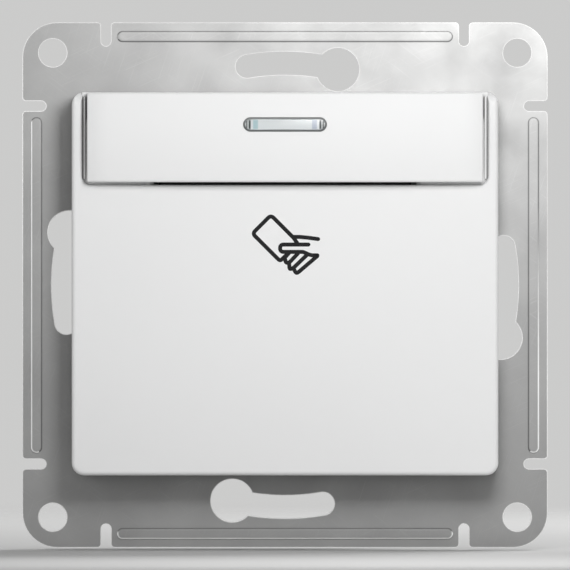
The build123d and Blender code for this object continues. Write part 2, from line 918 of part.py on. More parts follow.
def rear_housing():
    plane = Plane((0, carrier_back, 0), x_dir=(-1, 0, 0), z_dir=(0, 1, 0))
    housing = extrude(plane * housing_outline(0), housing_back - carrier_back, taper=housing_draft)
    rear_edges = housing.faces().sort_by(Axis.Y)[-1].edges()
    housing = fillet(rear_edges, housing_back_round)
    inner = housing_back - housing_wall
    housing -= slab(cavity_outline(0), carrier_back - past, inner)
    # claw pockets, open to the side and to the back
    outer = housing_side / 2 + past
    pin_reach = claw_pin_half + 2 * running_gap
    for side in (-1, 1):
        ends = mirrored_pair(side, pocket_floor, outer)
        housing -= block(ends, (carrier_back - past, housing_back + past), about(0, pocket_half_height))
        housing -= post(claw_pin_radius, side * claw_pivot_x, claw_pivot_y, -pin_reach, pin_reach)
    for boss in screw_bosses(inner):
        housing += boss
    for x, z in screw_places():
        housing -= rod(joint_screw_radius, x, z, carrier_back, boss_hole_back)
    housing += terminal_partitions(inner)
    # shelf, wire funnel and screwdriver hole of each terminal
    shelf_top = foot_top - strip
    funnel = cone_back(wire_hole_radius, wire_hole_radius + funnel_flare, funnel_flare)
    wall_inside = -housing_side / 2 + housing_wall
    for x in terminal_offsets:
        shelf_depths = (shelf_front, inner + bite / 2)
        housing += block(about(x, foot_width / 2), shelf_depths, (shelf_top - shelf_depth, shelf_top))
        housing -= rod(wire_hole_radius, x, wire_z, inner - past, housing_back + past)
        housing -= Pos(x, housing_back - funnel_flare + running_gap, wire_z) * funnel
        housing -= post(driver_hole_radius, x, clamp_y, -outer, wall_inside + past)
    # seat for the contact spring
    housing += rod(spring_seat_radius, 0, contact_spring_z, spring_seat_y, inner + bite / 2)
    stub_back = spring_seat_y + bite / 2
    housing += rod(spring_stub_radius, 0, contact_spring_z, spring_stub_front, stub_back)
    # sloped catches that snap into the plate's tabs
    wall = housing_side / 2
    slope = shape_from(
        (house_catch_front, wall + house_catch_proud),
        (house_catch_back, wall - bite),
        (house_catch_front, wall - bite),
    )
    for x in (-tab_offset, tab_offset):
        catch = side_bar(slope, *about(x, house_catch_half))
        housing += catch
        housing += mirror(catch, Plane.XY)
    return housing


def lever_profile():
    """Side view of the lever: arm, boss and the ramped nose that the card pushes."""
    pivot = Pos(lever_pivot_y, lever_pivot_z)
    front = lever_pivot_y - lever_thickness
    tail = lever_pivot_z - lever_tail
    arm = shape_from(
        (lever_pivot_y, tail),
        (lever_pivot_y, lever_heel_z),
        (nose_back_y, nose_back_low),
        (nose_back_y, nose_back_high),
        (nose_top_y, nose_top_z),
        (nose_ramp_y, nose_ramp_z),
        (nose_tip_y, nose_tip_z),
        (nose_chin_y, nose_chin_z),
        (nose_throat_y, nose_throat_z),
        (front, lever_shoulder_z),
        (front, tail),
    )
    return arm + pivot * Circle(lever_boss_radius) - pivot * Circle(lever_pin_radius + running_gap)


def card_lever():
    lever = side_bar(lever_profile(), -nose_half_width, nose_half_width)
    deep = (nose_tip_y - 2 * past, 0)
    low = lever_pivot_z - 2 * lever_tail
    # narrower below the nose, so that it clears the bearing lugs
    for side in (-1, 1):
        ends = mirrored_pair(side, lever_half_width, nose_half_width + past)
        lever -= block(ends, deep, (low, lever_shoulder_z))
    # hollows in the back of the nose keep its wall even
    for x in nose_hollow_offsets:
        hollow_height = (nose_hollow_low, nose_hollow_high)
        lever -= block(about(x, nose_hollow_half), (nose_hollow_front, 0), hollow_height)
    # opening for the torsion spring
    lever -= block(about(0, spring_opening_half), deep, (low, spring_opening_top))
    return lever


def lever_pin():
    pin = beam(lever_pin_radius, lever_pivot_y, lever_pivot_z, -lever_pin_reach, lever_pin_reach)
    return chamfer(pin.edges().filter_by(GeomType.CIRCLE), lever_pin_chamfer)


def swept_wire(path, radius):
    start = Plane(origin=path @ 0, z_dir=path % 0)
    return sweep(start * Circle(radius), path=path)


def lever_spring():
    """A torsion spring round the pin: one leg on the carrier, one behind the lever."""
    length = lever_coil_pitch * lever_coil_turns
    rise = lever_coil_pitch / (2 * pi * lever_coil_radius)
    start = -length / 2
    coil = Helix(lever_coil_pitch, length, lever_coil_radius, center=(0, 0, start))
    tip = (lever_coil_radius, -lever_low_leg, start - lever_low_leg * rise)
    low_leg = Line(tip, (lever_coil_radius, 0, start))
    end, way = coil @ 1, (coil % 1).normalized()
    high_leg = Line(end, end + way * lever_high_leg)
    place = Plane((0, lever_pivot_y, lever_pivot_z), x_dir=(0, 1, 0), z_dir=(1, 0, 0))
    return swept_wire(place * Wire([low_leg, coil, high_leg]), lever_wire_radius)


def contact_spring():
    """The coil that holds the moving contact forward."""
    clear = contact_wire_radius + spring_play
    front = blade_y + blade_thickness / 2 + clear
    length = spring_seat_y - clear - front
    coil = Helix(length / contact_coil_turns, length, contact_coil_radius)
    place = Plane((0, front, contact_spring_z), x_dir=(1, 0, 0), z_dir=(0, 1, 0))
    return swept_wire(place * Wire([coil]), contact_wire_radius)


def contact_plunger():
    tip = blade_y - blade_thickness / 2 - running_gap - plunger_tip_radius
    front = lever_pivot_y + running_gap + bite / 2
    plunger = rod(plunger_radius, 0, plunger_z, front, plunger_back)
    nose = plunger.edges().filter_by(GeomType.CIRCLE).sort_by(Axis.Y)[0]
    plunger = fillet(nose, plunger_nose_round)
    plunger += rod(plunger_collar_radius, 0, plunger_z, plunger_collar_front, plunger_back)
    plunger += rod(plunger_tip_radius, 0, plunger_z, plunger_back - bite / 2, tip)
    return plunger + Pos(0, tip, plunger_z) * Sphere(plunger_tip_radius)


def contact_blade():
    """The moving contact: a strip on a knife edge, with a waist above it."""
    half = blade_thickness / 2
    middle = Pos(0, (blade_top + blade_z) / 2)
    profile = middle * Rectangle(blade_width, blade_top - blade_z)
    profile = fillet(profile.vertices().sort_by(Axis.Y)[-2:], blade_top_round)
    waist = blade_width / 2 - blade_waist_inset + blade_waist_radius
    for side in (-1, 1):
        profile -= Pos(side * waist, blade_waist_z) * Circle(blade_waist_radius)
    blade = slab(profile, blade_y - half, blade_y + half)
    blade += beam(half, blade_y, blade_z, -blade_width / 2, blade_width / 2)
    # stub that centres the spring
    return blade + rod(spring_stub_radius, 0, contact_spring_z, blade_y, blade_y + blade_stub_height)


def contact_button(front, back):
    button = rod(contact_radius, 0, contact_z, front, back)
    return chamfer(button.edges().filter_by(GeomType.CIRCLE), contact_chamfer)


def blade_tip():
    """Silver rivet head on each face of the moving contact."""
    front = blade_y - blade_thickness / 2
    back = blade_y + blade_thickness / 2
    heads = [contact_button(front - contact_height, front), contact_button(back, back + contact_height)]
    return Compound(children=heads)


def fixed_tips():
    """The two silver contacts that the moving contact meets."""
    return Compound(children=[contact_button(*first_contact), contact_button(*third_contact)])


def terminal_foot(x):
    low = foot_top - strip
    foot = block(about(x, foot_width / 2), (foot_front, foot_back), (low, foot_top))
    # serrations that grip the wire
    groove_height = (foot_top - serration_depth, foot_top + past)
    for step in (-1.5, -0.5, 0.5, 1.5):
        y = clamp_y + serration_pitch * step
        foot -= block(about(x, foot_width), about(y, serration_width / 2), groove_height)
    return foot


def side_terminal(side, tab_front):
    """First or third terminal: foot, riser, arm across, arm forward and contact tab."""
    riser = foot_front + strip
    height = (arm_low, arm_high)
    arm_outer = arm_inner + strip
    part = terminal_foot(side * terminal_offsets[2])
    riser_width = mirrored_pair(side, riser_inner, riser_outer)
    part += block(riser_width, (foot_front, riser), (foot_top - strip, arm_high))
    part += block(mirrored_pair(side, arm_inner, riser_outer), (foot_front, riser), height)
    part += block(mirrored_pair(side, arm_inner, arm_outer), (tab_front, riser), height)
    tab_width_pair = mirrored_pair(side, -contact_tab_end, arm_outer)
    return part + block(tab_width_pair, (tab_front, tab_front + strip), height)


def terminal_common():
    """Middle terminal: its strip ends in the cradle of the moving contact."""
    half = foot_width / 2
    ledge = cradle_low + strip
    part = terminal_foot(0)
    part += block((-half, half), (foot_front, foot_front + strip), (foot_top - strip, ledge))
    part += block((-half, half), (cradle_front, foot_front + strip), (cradle_low, ledge))
    part += block((-half, half), (cradle_front, cradle_back), (cradle_low, cradle_high))
    groove = blade_thickness / 2 + cradle_clearance
    return part - beam(groove, blade_y, blade_z, -half - past, half + past)


def terminal_clamp(x):
    """A clamp ring round the terminal strip, its sill threaded for the screw."""
    middle = (clamp_low + clamp_high) / 2
    face = Pos(x, middle) * RectangleRounded(clamp_width, clamp_high - clamp_low, clamp_corner)
    low = clamp_low + clamp_sill
    high = clamp_high - clamp_lintel
    face -= Pos(x, (low + high) / 2) * Rectangle(clamp_width - 2 * clamp_wall, high - low)
    ring = slab(face, *about(clamp_y, clamp_depth / 2))
    ring -= post(screw_radius + running_gap, x, clamp_y, clamp_low - past, low + past / 2)
    # pressing ridge on the underside of the lintel
    ridge = Pos(clamp_y, high) * RegularPolygon(clamp_ridge, 4)
    return ring + side_bar(ridge, *about(x, clamp_ridge_half))


def terminal_screw(x):
    head_top = terminal_head_low + terminal_head_height
    tip = foot_top - strip - bite / 2
    screw = post(terminal_head_radius, x, clamp_y, terminal_head_low, head_top)
    screw = fillet(screw.edges().filter_by(GeomType.CIRCLE), terminal_head_round)
    screw += post(screw_radius, x, clamp_y, head_top - bite / 2, tip)
    slot = Box(3 * terminal_head_radius, terminal_slot_width, 2 * terminal_slot_depth)
    return screw - Pos(x, clamp_y, terminal_head_low) * slot


def claw(side):
    """A claw in plan view: eye, lug for the screw, long arm and bent toothed tip."""
    profile = Circle(claw_eye_radius)
    tip = claw_arm_length + claw_tooth_back
    profile += shape_from(
        (-claw_eye_radius, 0),
        (claw_sheet - claw_eye_radius, 0),
        (claw_sheet - claw_eye_radius, claw_arm_length - claw_bend),
        (claw_tooth_reach, claw_arm_length - claw_tooth_front),
        (claw_tooth_reach, tip),
        (claw_tooth_reach - claw_tooth_flat, tip),
        (-claw_eye_radius, claw_arm_length - claw_outer_bend),
    )
    lug = Pos(claw_lug_reach / 2, 0) * Rectangle(claw_lug_reach, claw_sheet)
    profile += Rot(0, 0, claw_lug_tilt) * lug
    profile -= Circle(claw_pin_radius + running_gap)
    shape = plan_bar(profile, -claw_half_height, claw_half_height)
    bore = Rot(90, 0, 0) * Cylinder(claw_screw_hole, 4 * claw_sheet)
    shape -= Rot(0, 0, claw_lug_tilt) * (Pos(claw_screw_arm, 0, 0) * bore)
    # narrower lug, and gaps between the teeth
    lug_span = (claw_lug_start, 2 * claw_screw_arm)
    tooth_span = (claw_tooth_reach / 2 + claw_sheet / 3, 2 * claw_tooth_reach)
    tooth_depth = (claw_arm_length - claw_bend, tip + past)
    for end in (-1, 1):
        lug_trim = mirrored_pair(end, claw_lug_half_height, claw_half_height + past)
        shape -= block(lug_span, about(0, claw_screw_arm), lug_trim)
        shape -= block(tooth_span, tooth_depth, mirrored_pair(end, tooth_gap_low, tooth_gap_high))
    shape = Pos(claw_pivot_x, claw_pivot_y, 0) * shape
    return shape if side > 0 else mirror(shape, Plane.YZ)


def claw_screw(side):
    x = side * claw_screw_x
    head_front = -plate_sheet - claw_head_height
    head = rod(claw_head_radius, x, 0, head_front, -plate_sheet)
    head = fillet(head.faces().sort_by(Axis.Y)[0].edges(), claw_head_round)
    screw = head + rod(screw_radius, x, 0, -plate_sheet - bite, claw_screw_tip)
    screw = chamfer(screw.faces().sort_by(Axis.Y)[-1].edges(), claw_tip_chamfer)
    slot = Box(claw_slot_length, 2 * claw_slot_depth, claw_slot_width)
    for turn in (0, 90):
        screw -= Pos(x, head_front, 0) * (Rot(0, turn, 0) * slot)
    return screw


def claw_pins():
    """The pin of each claw, held in the housing."""
    places = (-claw_pivot_x, claw_pivot_x)
    pins = [post(claw_pin_radius, x, claw_pivot_y, -claw_pin_half, claw_pin_half) for x in places]
    return Compound(children=pins)


def all_pieces():
    pieces = {
        "support_plate": support_plate(),
        "cover_plate": cover_plate(),
        "card_hood": card_hood(),
        "indicator_lens": indicator_lens(),
        "light_guide": light_guide(),
        "led_board": led_board(),
        "led_lamp": led_lamp(),
        "led_resistor": led_resistor(),
        "board_pins": board_pins(),
        "mechanism_carrier": mechanism_carrier(),
        "housing_screws": housing_screws(),
        "rear_housing": rear_housing(),
        "card_lever": card_lever(),
        "lever_pin": lever_pin(),
        "lever_spring": lever_spring(),
        "contact_plunger": contact_plunger(),
        "contact_blade": contact_blade(),
        "blade_tip": blade_tip(),
        "contact_spring": contact_spring(),
        "fixed_tips": fixed_tips(),
        "terminal_first": side_terminal(-1, first_tab_front),
        "terminal_common": terminal_common(),
        "terminal_third": side_terminal(1, third_tab_front),
        "claw_left": claw(-1),
        "claw_right": claw(1),
        "claw_screw_left": claw_screw(-1),
        "claw_screw_right": claw_screw(1),
        "claw_pins": claw_pins(),
    }
    for name, x in zip(("first", "common", "third"), terminal_offsets):
        pieces[f"clamp_{name}"] = terminal_clamp(x)
        pieces[f"terminal_screw_{name}"] = terminal_screw(x)
    return pieces


os.makedirs("parts", exist_ok=True)
for name, piece in all_pieces().items():
    export_step(piece, f"parts/{name}.step")
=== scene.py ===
import bpy
import bmesh
import json
import math
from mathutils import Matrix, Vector


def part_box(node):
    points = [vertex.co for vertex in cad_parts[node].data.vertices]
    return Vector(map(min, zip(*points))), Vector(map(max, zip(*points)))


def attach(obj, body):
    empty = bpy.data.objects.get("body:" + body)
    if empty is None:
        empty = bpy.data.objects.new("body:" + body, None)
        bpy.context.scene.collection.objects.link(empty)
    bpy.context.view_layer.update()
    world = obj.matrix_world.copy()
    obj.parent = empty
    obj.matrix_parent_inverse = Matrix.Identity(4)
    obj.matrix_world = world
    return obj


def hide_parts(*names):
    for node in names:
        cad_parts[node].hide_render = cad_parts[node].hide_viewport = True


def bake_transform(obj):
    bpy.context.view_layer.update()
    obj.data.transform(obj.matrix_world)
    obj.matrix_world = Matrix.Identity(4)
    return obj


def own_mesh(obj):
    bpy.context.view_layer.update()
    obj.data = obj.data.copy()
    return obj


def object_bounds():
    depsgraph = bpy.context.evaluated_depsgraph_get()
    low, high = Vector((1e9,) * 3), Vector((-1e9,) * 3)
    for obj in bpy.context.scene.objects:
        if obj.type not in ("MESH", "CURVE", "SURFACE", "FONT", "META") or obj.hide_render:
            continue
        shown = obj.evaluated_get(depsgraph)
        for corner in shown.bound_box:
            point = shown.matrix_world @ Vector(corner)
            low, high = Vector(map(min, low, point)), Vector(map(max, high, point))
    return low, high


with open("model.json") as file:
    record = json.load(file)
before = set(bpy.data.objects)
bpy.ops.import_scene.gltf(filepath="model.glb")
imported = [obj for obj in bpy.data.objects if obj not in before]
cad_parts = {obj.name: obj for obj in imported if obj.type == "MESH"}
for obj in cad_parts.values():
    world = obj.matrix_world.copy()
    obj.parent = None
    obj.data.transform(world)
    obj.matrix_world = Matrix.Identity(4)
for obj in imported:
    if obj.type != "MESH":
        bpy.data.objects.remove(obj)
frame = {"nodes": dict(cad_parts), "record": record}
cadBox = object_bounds()
mm = 0.001  # sizes are written in millimetres, and times mm they are the frame's metres
print("stage: frame loaded,", len(frame["nodes"]), "nodes")


# Node helpers: short calls that keep each material readable

def newMaterial(name):
    mat = bpy.data.materials.new(name)
    mat.use_nodes = True
    tree = mat.node_tree
    shader = tree.nodes["Principled BSDF"]
    return mat, tree, shader


def addNode(tree, kind, x, y, **settings):
    node = tree.nodes.new(kind)
    node.location = (x, y)
    for key, value in settings.items():
        setattr(node, key, value)
    return node


def setInputs(node, values):
    for key, value in values.items():
        node.inputs[key].default_value = value


def link(tree, source, target):
    tree.links.new(source, target)


def placeGroup(tree, group, x, y, values):
    node = tree.nodes.new("ShaderNodeGroup")
    node.node_tree = group
    node.location = (x, y)
    setInputs(node, values)
    return node


def startGroup(name, inputs, outputs):
    # inputs are (name, socket type, default), outputs are (name, socket type)
    group = bpy.data.node_groups.new(name, "ShaderNodeTree")
    for label, kind, default in inputs:
        socket = group.interface.new_socket(label, in_out="INPUT", socket_type=kind)
        socket.default_value = default
    for label, kind in outputs:
        group.interface.new_socket(label, in_out="OUTPUT", socket_type=kind)
    entry = addNode(group, "NodeGroupInput", -900, 0)
    end = addNode(group, "NodeGroupOutput", 700, 0)
    return group, entry, end


# Shared effects

def makeClouds():
    # soft patches: a value that drifts between Low and High over the surface
    group, entry, end = startGroup(
        "softClouds",
        [("Size", "NodeSocketFloat", 8.0), ("Detail", "NodeSocketFloat", 3.0),
         ("Low", "NodeSocketFloat", 0.0), ("High", "NodeSocketFloat", 1.0)],
        [("Value", "NodeSocketFloat")],
    )
    place = addNode(group, "ShaderNodeTexCoord", -900, -250)
    rate = addNode(group, "ShaderNodeMath", -700, 100, operation="DIVIDE")
    rate.inputs[0].default_value = 1 / mm
    noise = addNode(group, "ShaderNodeTexNoise", -450, 0)
    spread = addNode(group, "ShaderNodeMapRange", -100, 0)
    setInputs(spread, {"From Min": 0.15, "From Max": 0.85})
    link(group, entry.outputs["Size"], rate.inputs[1])
    link(group, place.outputs["Object"], noise.inputs["Vector"])
    link(group, rate.outputs[0], noise.inputs["Scale"])
    link(group, entry.outputs["Detail"], noise.inputs["Detail"])
    link(group, noise.outputs["Fac"], spread.inputs["Value"])
    link(group, entry.outputs["Low"], spread.inputs["To Min"])
    link(group, entry.outputs["High"], spread.inputs["To Max"])
    link(group, spread.outputs["Result"], end.inputs["Value"])
    return group


def makeEdgeLine():
    # mask of the edges: where the rounded normal leaves the flat one
    group, entry, end = startGroup(
        "edgeLine",
        [("Radius", "NodeSocketFloat", 0.12 * mm), ("Width", "NodeSocketFloat", 0.2)],
        [("Mask", "NodeSocketFloat"), ("Normal", "NodeSocketVector")],
    )
    bevel = addNode(group, "ShaderNodeBevel", -600, 0, samples=6)
    surface = addNode(group, "ShaderNodeNewGeometry", -600, -200)
    dot = addNode(group, "ShaderNodeVectorMath", -350, 0, operation="DOT_PRODUCT")
    turn = addNode(group, "ShaderNodeMath", -150, 0, operation="SUBTRACT")
    turn.inputs[0].default_value = 1.0
    spread = addNode(group, "ShaderNodeMath", 100, 0, operation="DIVIDE", use_clamp=True)
    link(group, entry.outputs["Radius"], bevel.inputs["Radius"])
    link(group, bevel.outputs["Normal"], dot.inputs[0])
    link(group, surface.outputs["True Normal"], dot.inputs[1])
    link(group, dot.outputs["Value"], turn.inputs[1])
    link(group, turn.outputs[0], spread.inputs[0])
    link(group, entry.outputs["Width"], spread.inputs[1])
    link(group, spread.outputs[0], end.inputs["Mask"])
    link(group, bevel.outputs["Normal"], end.inputs["Normal"])
    return group


def makeScratches():
    # hair-fine marks in three directions, cut out of stretched noise
    group, entry, end = startGroup(
        "fineScratches",
        [("Length", "NodeSocketFloat", 9.0), ("Width", "NodeSocketFloat", 0.12),
         ("Amount", "NodeSocketFloat", 0.5)],
        [("Mask", "NodeSocketFloat")],
    )
    place = addNode(group, "ShaderNodeTexCoord", -1100, -250)
    along = addNode(group, "ShaderNodeMath", -900, 250, operation="DIVIDE")
    across = addNode(group, "ShaderNodeMath", -900, 100, operation="DIVIDE")
    along.inputs[0].default_value = 1 / mm
    across.inputs[0].default_value = 1 / mm
    stretch = addNode(group, "ShaderNodeCombineXYZ", -700, 200)
    link(group, entry.outputs["Length"], along.inputs[1])
    link(group, entry.outputs["Width"], across.inputs[1])
    link(group, along.outputs[0], stretch.inputs["X"])
    link(group, across.outputs[0], stretch.inputs["Y"])
    link(group, across.outputs[0], stretch.inputs["Z"])
    total = None
    for step, angle in enumerate((24, -37, 71)):
        turned = addNode(group, "ShaderNodeVectorRotate", -650, -250 * step, rotation_type="Y_AXIS")
        turned.inputs["Angle"].default_value = math.radians(angle)
        scaled = addNode(group, "ShaderNodeVectorMath", -450, -250 * step, operation="MULTIPLY")
        noise = addNode(group, "ShaderNodeTexNoise", -250, -250 * step)
        setInputs(noise, {"Scale": 1.0, "Detail": 1.0})
        cut = addNode(group, "ShaderNodeMapRange", -50, -250 * step)
        setInputs(cut, {"From Min": 0.66, "From Max": 0.74})
        link(group, place.outputs["Object"], turned.inputs["Vector"])
        link(group, turned.outputs["Vector"], scaled.inputs[0])
        link(group, stretch.outputs["Vector"], scaled.inputs[1])
        link(group, scaled.outputs["Vector"], noise.inputs["Vector"])
        link(group, noise.outputs["Fac"], cut.inputs["Value"])
        if total is None:
            total = cut.outputs["Result"]
        else:
            most = addNode(group, "ShaderNodeMath", 150, -250 * step, operation="MAXIMUM")
            link(group, total, most.inputs[0])
            link(group, cut.outputs["Result"], most.inputs[1])
            total = most.outputs[0]
    share = addNode(group, "ShaderNodeMath", 400, 0, operation="MULTIPLY")
    link(group, total, share.inputs[0])
    link(group, entry.outputs["Amount"], share.inputs[1])
    link(group, share.outputs[0], end.inputs["Mask"])
    return group


def makeGrain():
    # height of a fine even grain: spark texture on mouldings, rolled skin on sheet
    group, entry, end = startGroup(
        "fineGrain",
        [("Size", "NodeSocketFloat", 0.3), ("Stretch", "NodeSocketFloat", 1.0)],
        [("Height", "NodeSocketFloat")],
    )
    place = addNode(group, "ShaderNodeTexCoord", -900, -250)
    rate = addNode(group, "ShaderNodeMath", -700, 150, operation="DIVIDE")
    rate.inputs[0].default_value = 1 / mm
    slow = addNode(group, "ShaderNodeMath", -500, 150, operation="DIVIDE")
    scale = addNode(group, "ShaderNodeCombineXYZ", -300, 150)
    scaled = addNode(group, "ShaderNodeVectorMath", -100, 0, operation="MULTIPLY")
    noise = addNode(group, "ShaderNodeTexNoise", 150, 0)
    setInputs(noise, {"Scale": 1.0, "Detail": 4.0, "Roughness": 0.6})
    link(group, entry.outputs["Size"], rate.inputs[1])
    link(group, rate.outputs[0], slow.inputs[0])
    link(group, entry.outputs["Stretch"], slow.inputs[1])
    link(group, slow.outputs[0], scale.inputs["X"])
    link(group, rate.outputs[0], scale.inputs["Y"])
    link(group, rate.outputs[0], scale.inputs["Z"])
    link(group, place.outputs["Object"], scaled.inputs[0])
    link(group, scale.outputs["Vector"], scaled.inputs[1])
    link(group, scaled.outputs["Vector"], noise.inputs["Vector"])
    link(group, noise.outputs["Fac"], end.inputs["Height"])
    return group


def makeGapShadeMask():
    # mask for a painted shade in narrow gaps and inner corners, where light hardly comes in
    group, entry, end = startGroup(
        "gapShadeMask",
        [("Reach", "NodeSocketFloat", 1.0 * mm), ("Amount", "NodeSocketFloat", 0.5)],
        [("Mask", "NodeSocketFloat")],
    )
    gap = addNode(group, "ShaderNodeAmbientOcclusion", -600, 0, samples=6)
    spread = addNode(group, "ShaderNodeMapRange", -300, 0)
    setInputs(spread, {"From Min": 0.65, "From Max": 0.15})
    share = addNode(group, "ShaderNodeMath", 0, 0, operation="MULTIPLY")
    link(group, entry.outputs["Reach"], gap.inputs["Distance"])
    link(group, gap.outputs["AO"], spread.inputs["Value"])
    link(group, spread.outputs["Result"], share.inputs[0])
    link(group, entry.outputs["Amount"], share.inputs[1])
    link(group, share.outputs[0], end.inputs["Mask"])
    return group


def makeTwinBars():
    # mask of two upright bars, one each side of the middle
    group, entry, end = startGroup(
        "twinBars",
        [("Offset", "NodeSocketFloat", 4.0 * mm), ("Half", "NodeSocketFloat", 0.2 * mm),
         ("Middle", "NodeSocketFloat", 0.0), ("Height", "NodeSocketFloat", 0.5 * mm),
         ("Amount", "NodeSocketFloat", 1.0)],
        [("Mask", "NodeSocketFloat"), ("Side", "NodeSocketFloat")],
    )
    place = addNode(group, "ShaderNodeTexCoord", -1300, 0)
    axes = addNode(group, "ShaderNodeSeparateXYZ", -1100, 0)
    link(group, place.outputs["Object"], axes.inputs[0])
    total = entry.outputs["Amount"]
    for step, (axis, middle, reach) in enumerate((("X", "Offset", "Half"), ("Z", "Middle", "Height"))):
        value = axes.outputs[axis]
        if axis == "X":
            mirrored = addNode(group, "ShaderNodeMath", -900, 200, operation="ABSOLUTE")
            link(group, value, mirrored.inputs[0])
            value = mirrored.outputs[0]
        shifted = addNode(group, "ShaderNodeMath", -700, -200 * step, operation="SUBTRACT")
        size = addNode(group, "ShaderNodeMath", -500, -200 * step, operation="ABSOLUTE")
        share = addNode(group, "ShaderNodeMath", -300, -200 * step, operation="DIVIDE")
        fade = addNode(group, "ShaderNodeMapRange", -100, -200 * step, interpolation_type="SMOOTHSTEP")
        setInputs(fade, {"From Min": 1.25, "From Max": 0.75})
        both = addNode(group, "ShaderNodeMath", 200, -200 * step, operation="MULTIPLY")
        link(group, value, shifted.inputs[0])
        link(group, entry.outputs[middle], shifted.inputs[1])
        link(group, shifted.outputs[0], size.inputs[0])
        link(group, size.outputs[0], share.inputs[0])
        link(group, entry.outputs[reach], share.inputs[1])
        link(group, share.outputs[0], fade.inputs["Value"])
        link(group, total, both.inputs[0])
        link(group, fade.outputs["Result"], both.inputs[1])
        total = both.outputs[0]
    right = addNode(group, "ShaderNodeMath", 200, 300, operation="GREATER_THAN")
    right.inputs[1].default_value = 0.0
    link(group, axes.outputs["X"], right.inputs[0])
    link(group, total, end.inputs["Mask"])
    link(group, right.outputs[0], end.inputs["Side"])
    return group


beadRows = {
    # the beads pressed into the support plate stand on a strip of sheet along each side:
    # its distance out, its half length and its half width
    "row": 33.6, "half": 23.2, "reach": 1.05,
    # they lie before this depth and farther out than this
    "front": -1.005, "rim": 32.0,
    # how far a face looks to the front where a flank begins and where it is steep
    "level": 0.92, "steep": 0.55,
    # how far a flank looks up where it keeps its painted shade and where it gets a painted highlight
    "upward": 0.45, "sideways": 0.1,
    # a direction over the plate, and where along it the painted highlights begin and end to get brighter
    "tilt": (0.5, 0, 1), "dull": 28.0, "bright": 4.0,
}


